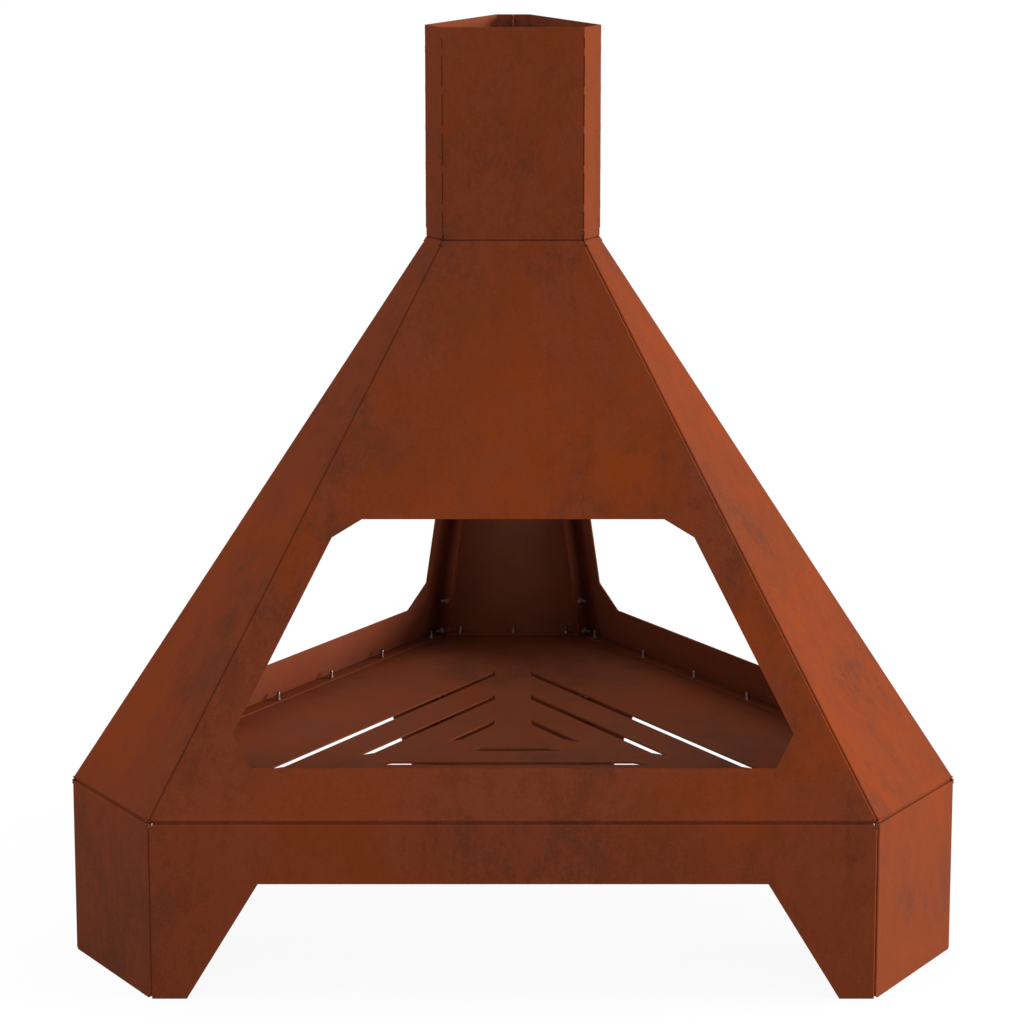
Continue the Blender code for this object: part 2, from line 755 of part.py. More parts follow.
def main():
    remove_everything()
    parts = collection(NAME)
    cutters = collection("cutters")
    centre = bpy.data.objects.new("centre_line", None)
    centre.location = (0, CENTRE_Y, 0)
    parts.objects.link(centre)

    def tool(name, build):
        return cutter(name, build, cutters, centre)

    def panels(word, mesh, turns, colour, tools):
        """The three alike panels of one tier."""
        made = {}
        for place, turn in turns.items():
            kind = "panel" if turns is WIDE_TURNS else "corner"
            item = add_object(f"{word}_{place}_{kind}", mesh, parts, centre, turn, colour)
            mirrored(item)
            thickened(item, SHEET)
            combine(item, tools)
            made[place] = item
        return made

    rim_holes = tool("rim_holes", lambda bm: drill(bm, rim_places()))
    collar_holes = tool("collar_holes", lambda bm: drill(bm, all_collar_places()))
    base_holes = tool("base_seam_holes", lambda bm: drill(bm, round_corners(base_seam_places)))
    hood_holes = tool("hood_seam_holes", lambda bm: drill(bm, round_corners(hood_seam_places)))
    joint_holes = tool("joint_holes", lambda bm: drill(bm, joint_places()))
    slots = tool("plate_slots", plate_slots)
    slits = tool("chimney_slits", fold_slits)

    base_tools = [rim_holes, base_holes]
    panels("base", base_panel_mesh(True), WIDE_TURNS, RUST_FRONT, base_tools)
    panels("base", base_panel_mesh(False), NARROW_TURNS, RUST_CORNER, base_tools)
    hood_wide = panels("hood", hood_panel_mesh(True), WIDE_TURNS, RUST_FRONT,
                       [rim_holes, hood_holes])
    hood_narrow = panels("hood", hood_panel_mesh(False), NARROW_TURNS, RUST_CORNER, [rim_holes])

    # The hood's own bolts are fixed in the flanges that their heads bear on
    seat = SHEET - STUD_SINK
    for place, item in hood_wide.items():
        held = collar_places(FLUE_SIDES[0], WIDE_TURNS[place])
        studs = tool(f"{item.name}_studs", lambda bm: fill_with_bolts(bm, held, -seat))
        combine(item, [studs], "UNION")
    for place, item in hood_narrow.items():
        turn = NARROW_TURNS[place]
        held = hood_seam_places(turn)
        studs = tool(f"{item.name}_studs",
                     lambda bm: fill_with_bolts(bm, held, -seat - GAP / 2))
        combine(item, [studs], "UNION")
        if place != "back":
            held = collar_places(FLUE_SIDES[1], turn)
            studs = tool(f"{item.name}_collar_stud",
                         lambda bm: fill_with_bolts(bm, held, -seat))
            combine(item, [studs], "UNION")

    plate = add_object("fire_plate", plate_mesh(), parts, centre, 0, RUST_PLATE)
    thickened(plate, PLATE_THICKNESS)
    combine(plate, [slots, rim_holes])

    chimney = add_object("chimney", flue_mesh(), parts, centre, 0, RUST_FLUE)
    mirrored(chimney)
    thickened(chimney, SHEET)
    combine(chimney, [slits, collar_holes, joint_holes])

    grip = SHEET + GAP * 3 / 2
    separate_bolts("rim_bolt", rim_places(), -(SHEET + GAP * 2), parts, centre)
    separate_bolts("base_seam_bolt", round_corners(base_seam_places), -grip, parts, centre)
    separate_bolts("chimney_joint_bolt", joint_places(), -grip, parts, centre)


main()
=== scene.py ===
"""Looks of a three-sided outdoor fireplace of folded weathering steel.

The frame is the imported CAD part. Every sheet is rebuilt here as a finely bent surface with its
thickness, every bolt and nut gets its thread and chamfers, and each finish is a node material.
Lengths are in metres, +Z is up, the front faces -Y and the origin is on the ground.
"""

import logging
import math
from dataclasses import dataclass, field, replace
from enum import Enum
from typing import ClassVar

import bpy
import numpy as np
from numpy.typing import NDArray
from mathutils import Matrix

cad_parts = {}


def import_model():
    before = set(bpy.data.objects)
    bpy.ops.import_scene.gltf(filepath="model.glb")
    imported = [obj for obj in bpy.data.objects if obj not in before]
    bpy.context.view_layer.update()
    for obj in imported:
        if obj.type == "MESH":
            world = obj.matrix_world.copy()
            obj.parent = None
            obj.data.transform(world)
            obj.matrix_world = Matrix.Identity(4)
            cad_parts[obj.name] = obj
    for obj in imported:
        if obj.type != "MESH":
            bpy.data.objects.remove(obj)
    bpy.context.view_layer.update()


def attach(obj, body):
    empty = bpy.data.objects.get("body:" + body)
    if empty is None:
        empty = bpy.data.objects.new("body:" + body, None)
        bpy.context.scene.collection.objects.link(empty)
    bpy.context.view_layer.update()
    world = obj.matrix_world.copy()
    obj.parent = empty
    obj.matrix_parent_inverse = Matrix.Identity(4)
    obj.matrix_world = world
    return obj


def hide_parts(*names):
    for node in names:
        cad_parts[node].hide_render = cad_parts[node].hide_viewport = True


Array = NDArray[np.float64]
Whole = NDArray[np.int64]
Flags = NDArray[np.bool_]
Triple = tuple[float, float, float]
Span = tuple[float, float]
# Where bolts or nuts go: points, and the directions in which the bolts point.
Spots = tuple[Array, Array]
Material = bpy.types.Material
Socket = bpy.types.NodeSocket

LOG = logging.getLogger("fireplace")
SIXTH = math.radians(60)
THIRD = math.radians(120)
RIGHT = np.array([1.0, 0.0, 0.0])
UP = np.array([0.0, 0.0, 1.0])
WELD = 1e-5
WELD_OFFSET = 0.37
NORMAL_STEPS = 1e3
NEARLY_UPRIGHT = 0.9
WHITE = (1.0, 1.0, 1.0, 1.0)
TINY = 1e-12


@dataclass(frozen=True)
class Gauge:
    """Sheet thickness, bend radius and clearances that all folded pieces share."""

    sheet: float = 0.002
    plate: float = 0.0025
    bend: float = 0.0024
    bend_steps: int = 8
    gap: float = 0.0003


GAUGE = Gauge()


@dataclass
class Surface:
    """Polygons as whole arrays.

    points has one row for each point. sizes has each polygon's number of corners, and corners,
    normals and sheet have one row for each corner: its point, its normal and its place on the
    unfolded sheet. inside marks the polygons of a sheet's inner face.
    """

    points: Array
    sizes: Whole
    corners: Whole
    normals: Array
    sheet: Array
    inside: Flags | None = None

    @classmethod
    def polygon(cls, outline: Array, normal: Array, sheet: Array) -> "Surface":
        """One flat polygon.

        Args:
            outline: Its points in order.
            normal: The way it faces.
            sheet: The points' places on the unfolded sheet.

        Returns:
            A surface of one face.
        """
        count = len(outline)
        return cls(outline, np.array([count]), np.arange(count), np.tile(normal, (count, 1)),
                   sheet).faced()

    @classmethod
    def grid(cls, points: Array, normals: Array, sheet: Array,
             keep: Flags | None = None) -> "Surface":
        """Quads between the neighbours of a grid of points.

        Args:
            points: Rows and columns of points.
            normals: Their normals.
            sheet: Their places on the unfolded sheet.
            keep: Which cells of the grid to fill; all of them where it is left out.

        Returns:
            A surface of one quad for each cell, wound the way its normals point.
        """
        rows, columns = points.shape[:2]
        index = np.arange(rows * columns).reshape(rows, columns)
        cells = np.stack([index[:-1, :-1], index[:-1, 1:], index[1:, 1:], index[1:, :-1]], -1)
        cells = cells[keep] if keep is not None else cells.reshape(-1, 4)
        corners = cells.reshape(-1)
        return cls(points.reshape(-1, 3), np.full(len(cells), 4), corners,
                   normals.reshape(-1, 3)[corners], sheet.reshape(-1, 2)[corners]).faced()

    @classmethod
    def gathered(cls, points: Array, parts: list["Surface"]) -> "Surface":
        """The polygons of all parts, whose corners are rows of the same points."""
        return cls(points, *(np.concatenate([getattr(part, name) for part in parts])
                             for name in ("sizes", "corners", "normals", "sheet")))

    @classmethod
    def joined(cls, parts: list["Surface"]) -> "Surface":
        """All parts as one surface.

        Args:
            parts: Surfaces, each with points of its own.

        Returns:
            Their polygons, with the points numbered on.
        """
        points = [part.points for part in parts]
        firsts = np.cumsum([0] + [len(rows) for rows in points[:-1]])
        moved = [replace(part, corners=part.corners + first)
                 for part, first in zip(parts, firsts)]
        return cls.gathered(np.concatenate(points), moved)

    @property
    def starts(self) -> Whole:
        """Where each polygon's corners begin."""
        return np.concatenate([[0], np.cumsum(self.sizes)[:-1]])

    def following(self) -> Whole:
        """For each corner, the row of the next corner round its polygon."""
        step = np.arange(len(self.corners)) + 1
        step[self.starts + self.sizes - 1] = self.starts
        return step

    def areas(self) -> Array:
        """Each polygon's area vector: half the sum of the cross products round its outline."""
        here = self.points[self.corners]
        return np.add.reduceat(np.cross(here, here[self.following()]), self.starts) / 2

    def reversed_where(self, flip: Flags) -> "Surface":
        """The corners of some polygons in the opposite order.

        Args:
            flip: Whether each polygon is turned over.

        Returns:
            A surface with all else as it was.
        """
        starts = np.repeat(self.starts, self.sizes)
        sizes = np.repeat(self.sizes, self.sizes)
        place = np.arange(len(self.corners)) - starts
        order = starts + np.where(np.repeat(flip, self.sizes), sizes - 1 - place, place)
        return replace(self, corners=self.corners[order], normals=self.normals[order],
                       sheet=self.sheet[order])

    def flipped(self) -> "Surface":
        """Every polygon's corners in the opposite order."""
        return self.reversed_where(np.ones(len(self.sizes), bool))

    def faced(self) -> "Surface":
        """Every polygon wound so that it faces the way its normals point."""
        outward = np.add.reduceat(self.normals, self.starts)
        return self.reversed_where(np.einsum("ij,ij->i", self.areas(), outward) < 0)

    def turned(self, axes: Array, origin: Array) -> "Surface":
        """Carried by a turn and a shift: a point p goes to axes p + origin."""
        return replace(self, points=self.points @ axes.T + origin, normals=self.normals @ axes.T)

    def mirrored(self) -> "Surface":
        """Its reflection in the plane x = 0."""
        flip = np.array([-1.0, 1.0, 1.0])
        return replace(self, points=self.points * flip, normals=self.normals * flip,
                       sheet=self.sheet * flip[:2]).flipped()

    def welded(self) -> "Surface":
        """Points that coincide made one, and corners and polygons that this empties left out.

        Returns:
            A surface without doubles.
        """
        keys = np.round(self.points / WELD + WELD_OFFSET).astype(np.int64)
        _, first, inverse = np.unique(keys, axis=0, return_index=True, return_inverse=True)
        corners = inverse.reshape(-1)[self.corners]
        kept = corners != corners[self.following()]
        sizes = np.add.reduceat(kept.astype(int), self.starts)
        whole = sizes >= 3
        kept &= np.repeat(whole, self.sizes)
        return Surface(self.points[first], sizes[whole], corners[kept], self.normals[kept],
                       self.sheet[kept])

    def thickened(self, thickness: float) -> "Surface":
        """The closed sheet whose outer face is this surface.

        A point of the inner face lies at p - t m / |m|^2, where m is the mean of the normals
        that meet at p, so that it is t below every face there. Each open edge gets a wall.

        Args:
            thickness: The sheet's thickness t.

        Returns:
            Outer face, inner face and walls.
        """
        outer = self.welded()
        count = len(outer.points)
        steps = np.round(outer.normals * NORMAL_STEPS).astype(int)
        _, first = np.unique(np.column_stack([outer.corners, steps]), axis=0, return_index=True)
        total = np.zeros((count, 3))
        number = np.zeros((count, 1))
        np.add.at(total, outer.corners[first], outer.normals[first])
        np.add.at(number, outer.corners[first], 1)
        mean = total / np.maximum(number, 1)
        offset = -thickness * mean / np.maximum((mean ** 2).sum(1, keepdims=True), TINY)
        inner = replace(outer, points=outer.points + offset, normals=-outer.normals).flipped()
        faces = Surface.joined([outer, inner])
        here = outer.corners
        there = here[outer.following()]
        edge = ~np.isin(here * count + there, there * count + here)
        here, there = here[edge], there[edge]
        quads = np.stack([there, here, here + count, there + count], 1).reshape(-1)
        way = np.cross(outer.points[there] - outer.points[here], -offset[here])
        way /= np.maximum(np.linalg.norm(way, axis=1, keepdims=True), TINY)
        walls = Surface(faces.points, np.full(len(here), 4), quads, np.repeat(way, 4, 0),
                        np.repeat(outer.sheet[edge], 4, 0))
        whole = Surface.gathered(faces.points, [faces, walls])
        whole.inside = np.zeros(len(whole.sizes), bool)
        whole.inside[len(outer.sizes):len(faces.sizes)] = True
        return whole

    def piece(self, name: str, finish: Material, slot: str, replaced: list[str],
              lining: Material | None = None) -> bpy.types.Object:
        """Make the object, with the stated normals, and set it on the frame.

        Args:
            name: The object's name.
            finish: Its material.
            slot: The record's material slot; not used.
            replaced: The CAD nodes that it stands for.
            lining: The material of the sheet's inner face, where that has its own: a lighter,
            greyer copy of the rust, painted fill light.

        Returns:
            The object, at the origin.
        """
        mesh = bpy.data.meshes.new(name)
        faces = [face.tolist() for face in np.split(self.corners, self.starts[1:])]
        mesh.from_pydata(self.points.tolist(), [], faces)
        layer = mesh.uv_layers.new(name="sheet")
        layer.data.foreach_set("uv", self.sheet.astype(np.float32).reshape(-1))
        mesh.polygons.foreach_set("use_smooth", np.ones(len(faces), bool))
        mesh.normals_split_custom_set(self.normals.tolist())
        mesh.materials.append(finish)
        if lining is not None:
            mesh.materials.append(lining)
            mesh.polygons.foreach_set("material_index", self.inside.astype(np.int32))
        item = shown(name, mesh)
        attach(item, "root")
        if replaced:
            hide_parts(*replaced)
        LOG.info("%s: %d faces, replaces %s", name, len(faces), replaced or "nothing")
        return item


def shown(name: str, data: bpy.types.ID) -> bpy.types.Object:
    """A new object in the scene."""
    item = bpy.data.objects.new(name, data)
    bpy.context.scene.collection.objects.link(item)
    return item


def spin(angle: float) -> Array:
    """The turn about the upright axis by an angle."""
    cos, sin = math.cos(angle), math.sin(angle)
    return np.array([[cos, -sin, 0], [sin, cos, 0], [0, 0, 1]])


@dataclass(frozen=True)
class Plan:
    """Six-sided plan of three wide and three narrow sides, measured to its sharp corners."""

    wide: float
    narrow: float

    def width(self, wide: bool) -> float:
        """Width of a wide or a narrow side."""
        return self.wide if wide else self.narrow

    def out(self, wide: bool) -> float:
        """Distance from the centre line to a wide or a narrow side."""
        return (self.width(wide) + 2 * self.width(not wide)) / (2 * math.sqrt(3))


BASE_PLAN = Plan(1.000, 0.254)
FLUE_PLAN = Plan(0.200, 0.0485)
CENTRE = np.array([0, (BASE_PLAN.out(True) - BASE_PLAN.out(False)) / 2, 0])


@dataclass(frozen=True)
class Side:
    """One flat side of a tier, facing -Y until it is turned into place.

    Panel coordinates are x to the right, v up the slope from the sharp foot edge and w outwards.
    """

    half_foot: float
    half_top: float
    out_foot: float
    out_top: float
    foot_z: float
    height: float

    @property
    def lean(self) -> float:
        """Angle from the vertical."""
        return math.atan2(self.out_foot - self.out_top, self.height)

    @property
    def slant(self) -> float:
        """Height along the slope."""
        return math.hypot(self.out_foot - self.out_top, self.height)

    @property
    def axes(self) -> Array:
        """Columns are the panel's x, v and w directions."""
        cos, sin = math.cos(self.lean), math.sin(self.lean)
        return np.array([[1, 0, 0], [0, sin, -cos], [0, cos, sin]])

    @property
    def origin(self) -> Array:
        """Middle of the sharp foot edge, measured from the centre line."""
        return np.array([0, -self.out_foot, self.foot_z])

    @property
    def seam_along(self) -> Array:
        """Direction up the right-hand seam, in panel coordinates."""
        way = np.array([self.half_top - self.half_foot, self.slant, 0])
        return way / np.linalg.norm(way)

    @property
    def seam_length(self) -> float:
        """Length of the seam."""
        return math.hypot(self.half_top - self.half_foot, self.slant)

    @property
    def corner_lean(self) -> float:
        """Tangent of the corner line's lean from the vertical."""
        return math.hypot(self.half_foot - self.half_top,
                          self.out_foot - self.out_top) / self.height

    def placed(self, part: Surface, turn: float) -> Surface:
        """The part carried from panel coordinates into the row frame."""
        whole = spin(turn)
        return part.turned(whole @ self.axes, whole @ self.origin + CENTRE)


@dataclass(frozen=True)
class Tier:
    """The sides between a foot plan and a top plan."""

    foot: Plan
    top: Plan
    foot_z: float
    height: float

    def side(self, wide: bool) -> Side:
        """The wide or the narrow side."""
        return Side(self.foot.width(wide) / 2, self.top.width(wide) / 2, self.foot.out(wide),
                    self.top.out(wide), self.foot_z, self.height)

    @property
    def seam_turn(self) -> float:
        """The seam flanges' fold: half way between the two sides that meet."""
        cos = self.side(True).axes[:, 2] @ spin(SIXTH) @ self.side(False).axes[:, 2]
        return (math.pi + math.acos(cos)) / 2


BASE = Tier(BASE_PLAN, BASE_PLAN, 0, 0.250)
PLATE_Z = BASE.height + GAUGE.gap
HOOD = Tier(BASE_PLAN, FLUE_PLAN, PLATE_Z + GAUGE.plate + GAUGE.gap, 0.7509)
HOOD_TOP = HOOD.foot_z + HOOD.height
FLUE = Tier(FLUE_PLAN, FLUE_PLAN, HOOD_TOP + GAUGE.gap, 0.300)


class Place(Enum):
    """Where a panel stands: its kind, and its turn from the front."""

    FRONT = ("front", True, 0.0)
    RIGHT = ("right", True, THIRD)
    LEFT = ("left", True, -THIRD)
    BACK_CORNER = ("back", False, math.pi)
    RIGHT_CORNER = ("right", False, SIXTH)
    LEFT_CORNER = ("left", False, -SIXTH)

    def __init__(self, word: str, wide: bool, turn: float) -> None:
        """Name the three values."""
        self.word, self.wide, self.turn = word, wide, turn

    @property
    def suffix(self) -> str:
        """Last two words of the panel's name."""
        return f"{self.word}_{'panel' if self.wide else 'corner'}"


ALL_BUT_BACK = [place for place in Place if place is not Place.BACK_CORNER]


@dataclass
class Fold:
    """A flange folded inwards along one edge of a side.

    origin and along give the sharp edge in panel coordinates, with the sheet on its left. first
    and last are distances along it. A depth is measured from the sharp edge, a skew moves the
    flange's free corner along the edge, and a slot parts each end from the flat corner.
    """

    origin: Array
    along: Array
    first: float
    last: float
    turn: float
    depths: Span
    skews: Span = (0.0, 0.0)
    slot_width: float = 0.0005

    @property
    def setback(self) -> float:
        """Distance from the sharp edge to where the bend begins."""
        return GAUGE.bend * math.tan(self.turn / 2)

    @property
    def inward(self) -> Array:
        """Direction into the sheet from the edge."""
        return np.array([-self.along[1], self.along[0], 0])

    @property
    def flange_way(self) -> Array:
        """Direction in which the flange runs from the sharp edge."""
        return -math.sin(self.turn) * UP - math.cos(self.turn) * self.inward

    @property
    def flange_normal(self) -> Array:
        """Direction that the flange's outer face looks in."""
        return math.cos(self.turn) * UP - math.sin(self.turn) * self.inward

    def place(self, distance: float, inset: float) -> Array:
        """The point at a distance along the edge and an inset into the sheet."""
        return self.origin + self.along * distance + self.inward * inset

    def strip(self) -> Surface:
        """Bend and flange as one profile carried along the edge.

        The bend is a circle's arc: at angle a the point lies r sin a towards the edge and
        r (1 - cos a) inwards from where the bend begins, and its normal is
        cos a outwards + sin a towards the edge. The flange runs straight on from it.

        Returns:
            The outer face, in panel coordinates.
        """
        angles = np.linspace(0, self.turn, GAUGE.bend_steps + 1)[:, None, None]
        ring = np.cos(angles) * UP - np.sin(angles) * self.inward
        ends = np.stack([self.place(end, self.setback) for end in (self.first, self.last)])
        arc = ends + GAUGE.bend * (ring - UP)
        runs = np.array(self.depths)[:, None] - self.setback
        slides = self.along * np.array(self.skews)[:, None]
        tip = arc[-1] + self.flange_way * runs + slides
        points = np.concatenate([arc, tip[None]])
        normals = np.broadcast_to(np.concatenate([ring, ring[-1:]]), points.shape)
        flat_arc = ends - self.inward * GAUGE.bend * angles
        flat_tip = flat_arc[-1] - self.inward * runs + slides
        flat = np.concatenate([flat_arc, flat_tip[None]])[..., :2]
        return Surface.grid(points, normals, flat)


@dataclass(frozen=True)
class Flanges:
    """Depths of the flanges, where their bends stop, and the slots cut beside them."""

    rim_depth: float = 0.0275
    collar_depth: float = 0.022
    base_seam_depth: float = 0.030
    hood_seam_depths: Span = (0.040, 0.020)
    mitre_gap: float = 0.001
    rim_stop: float = 0.008
    base_rim_stop: float = 0.0067
    base_seam_stop: float = 0.006
    hood_seam_stops: Span = (0.005, 0.008)
    chamfer: float = 0.0025
    slot_depth: float = 0.001
    seam_slot: float = 0.001
    ear_rise: float = 0.0012


FLANGES = Flanges()


def relief_slot(fold: Fold, at_last: bool, edge_inset: float) -> list[Array]:
    """Outline beside a fold's end, where a slot parts the bend from the flat corner.

    Args:
        fold: The fold.
        at_last: Whether this is its last end.
        edge_inset: How far the flat corner's edge stays back from the sharp edge.

    Returns:
        Four points, in the direction of the outline.
    """
    end = fold.last if at_last else fold.first
    beside = end + (fold.slot_width if at_last else -fold.slot_width)
    deep = fold.setback + FLANGES.slot_depth
    points = [fold.place(*spot) for spot in ((end, fold.setback), (end, deep), (beside, deep),
                                             (beside, edge_inset))]
    return points if at_last else points[::-1]


def level_crossing(point: Array, along: Array, v: float) -> Array:
    """Where a line through a point reaches the height v in the panel."""
    return point + along * ((v - point[1]) / along[1])


def folded_sheet(outline: Array, folds: list[Fold], shift: float = 0.0) -> Surface:
    """A flat outline and the flanges on its edges, still without thickness.

    Args:
        outline: x and v of the flat's points, in order.
        folds: Its flanges.
        shift: How far the flat is moved along x on the unfolded sheet.

    Returns:
        The outer face, in panel coordinates.
    """
    solid = np.column_stack([outline, np.zeros(len(outline))])
    flat = Surface.polygon(solid, UP, outline + np.array([shift, 0.0]))
    return Surface.joined([flat] + [fold.strip() for fold in folds])


@dataclass
class FoldedPanel:
    """A panel that is alike on both sides of its middle, given as its right half."""

    side: Side
    outline: list[Array]
    folds: list[Fold]

    def surface(self, turn: float) -> Surface:
        """The closed sheet, in the row frame."""
        half = folded_sheet(np.array(self.outline)[:, :2], self.folds)
        both = Surface.joined([half, half.mirrored()])
        return self.side.placed(both, turn).thickened(GAUGE.sheet)


def seam_fold(tier: Tier, side: Side, stops: Span, depths: Span) -> Fold:
    """Flange along the right-hand seam, cut level at both ends.

    Args:
        tier: The tier, whose two kinds of side meet at the seam.
        side: The side that has the flange.
        stops: How far from the seam's foot and top its bend stops.
        depths: Its depth at both ends.

    Returns:
        The fold.
    """
    turn = tier.seam_turn
    inward = np.array([-side.seam_along[1], side.seam_along[0], 0])
    origin = RIGHT * side.half_foot + inward * GAUGE.gap / 2 / math.sin(turn)
    fold = Fold(origin, side.seam_along, stops[0], side.seam_length - stops[1], turn, depths,
                slot_width=FLANGES.seam_slot)
    fold.skews = tuple((depth - fold.setback) * side.corner_lean for depth in depths)
    return fold


def top_fold(side: Side, depth: float, stop: float) -> Fold:
    """Level flange along the right half of a side's top, from the stop beside the corner on."""
    skew = depth / math.tan(SIXTH) + FLANGES.mitre_gap - stop
    return Fold(np.array([side.half_top, side.slant, 0]), -RIGHT, stop, side.half_top,
                math.pi / 2 - side.lean, (depth, depth), (skew, 0.0))


def foot_fold(side: Side, depth: float) -> Fold:
    """Level flange along the right half of a side's foot."""
    skew = FLANGES.rim_stop - depth / math.tan(SIXTH) - FLANGES.mitre_gap
    return Fold(np.zeros(3), RIGHT, 0, side.half_foot - FLANGES.rim_stop,
                math.pi / 2 + side.lean, (depth, depth), (0.0, skew))


def seam_outline(fold: Fold, foot_ear: float | None, top_v: float) -> list[Array]:
    """Outline up the right-hand seam.

    Args:
        fold: The seam's flange.
        foot_ear: The level of the flat corner below the flange, or None without one.
        top_v: The level of the flat corner above it.

    Returns:
        The outline's points from foot to top.
    """
    inset = GAUGE.sheet / math.tan(math.pi - fold.turn)
    line = fold.place(0, inset)
    if foot_ear is None:
        points = [fold.place(fold.first, fold.setback)]
    else:
        points = [level_crossing(line, fold.along, foot_ear), *relief_slot(fold, False, inset)]
    points += relief_slot(fold, True, inset)
    return points + [level_crossing(line, fold.along, top_v)]


class PanelRing:
    """The six panels round one tier, named after its word."""

    word: ClassVar[str]
    # Places whose inner face gets the strongest painted fill light.
    strongest_painted_fill: ClassVar[tuple[Place, ...]] = ()

    def panel(self, wide: bool) -> FoldedPanel:
        """The wide or the narrow panel."""
        raise NotImplementedError

    def build(self, finishes: "Finishes") -> None:
        """Make the six panels.

        Args:
            finishes: All finishes.
        """
        for place in Place:
            name = f"{self.word}_{place.suffix}"
            # Inner faces take lighter, greyer copies of the rust: painted fill light in the shaded
            # inside.
            lining = finishes.sooty_lining if place in self.strongest_painted_fill else finishes.lining
            part = self.panel(place.wide).surface(place.turn)
            part.piece(f"{name}_sheet", finishes.panel, "panel_steel", [name], lining)


@dataclass(frozen=True)
class Base(PanelRing):
    """Legged base: wide panels with a cut-out, and narrow panels down to the ground."""

    word: ClassVar[str] = "base"
    cut_height: float = 0.165
    cut_half_top: float = 0.350
    cut_half_foot: float = 0.450

    def panel(self, wide: bool) -> FoldedPanel:
        """One panel, with its seam flange and its level top flange.

        Args:
            wide: Whether it is a wide one.

        Returns:
            The panel.
        """
        side = BASE.side(wide)
        depth = FLANGES.base_seam_depth
        first = 0 if wide else FLANGES.chamfer
        seam = seam_fold(BASE, side, (first, FLANGES.base_seam_stop), (depth, depth))
        top = top_fold(side, FLANGES.rim_depth, FLANGES.base_rim_stop)
        if wide:
            outline = [*np.array([[0, self.cut_height, 0], [self.cut_half_top, self.cut_height, 0],
                                  [self.cut_half_foot, 0, 0]])]
        else:
            outline = [np.zeros(3), seam.place(0, seam.setback + FLANGES.chamfer)]
        rise = FLANGES.ear_rise
        outline += seam_outline(seam, None, side.slant + rise) + relief_slot(top, False, -rise)
        outline.append(top.place(top.last, top.setback))
        return FoldedPanel(side, outline, [seam, top])


@dataclass(frozen=True)
class Hood(PanelRing):
    """Leaning hood: wide panels with a chamfered opening, and plain narrow panels."""

    word: ClassVar[str] = "hood"
    # The back corner, deepest in shade inside, gets the strongest painted fill light.
    strongest_painted_fill: ClassVar[tuple[Place, ...]] = (Place.BACK_CORNER,)
    opening_foot: float = 0.075
    opening_top: float = 0.425
    margin: float = 0.050
    foot_chamfer: Span = (0.0473, 0.0474)
    top_chamfer: Span = (0.029, 0.026)

    def opening(self, side: Side) -> list[Array]:
        """Right half of the opening.

        Args:
            side: The side that it is cut in.

        Returns:
            Its points, from the middle of its top to the middle of its foot.
        """
        slope = side.seam_along[0] / side.seam_along[1]
        foot, top = self.opening_foot, self.opening_top
        levels = np.array([top, top, top - self.top_chamfer[1], foot + self.foot_chamfer[1],
                           foot, foot])
        edge = side.half_foot + slope * levels - self.margin / side.seam_along[1]
        edge -= np.array([0, self.top_chamfer[0], 0, 0, self.foot_chamfer[0], 0])
        edge[[0, -1]] = 0
        return list(np.column_stack([edge, levels, np.zeros(len(levels))]))

    def panel(self, wide: bool) -> FoldedPanel:
        """One panel, with flanges along its foot, its seam and its top.

        Args:
            wide: Whether it is a wide one, which has the opening.

        Returns:
            The panel.
        """
        side = HOOD.side(wide)
        foot = foot_fold(side, FLANGES.rim_depth)
        seam = seam_fold(HOOD, side, FLANGES.hood_seam_stops, FLANGES.hood_seam_depths)
        top = top_fold(side, FLANGES.collar_depth, FLANGES.rim_stop)
        ear = GAUGE.sheet * math.tan(side.lean)
        outline = [foot.place(0, foot.setback), *relief_slot(foot, True, ear)]
        outline += seam_outline(seam, ear, side.slant) + relief_slot(top, False, 0)
        outline.append(top.place(top.last, top.setback))
        if wide:
            outline += self.opening(side)
        return FoldedPanel(side, outline, [foot, seam, top])


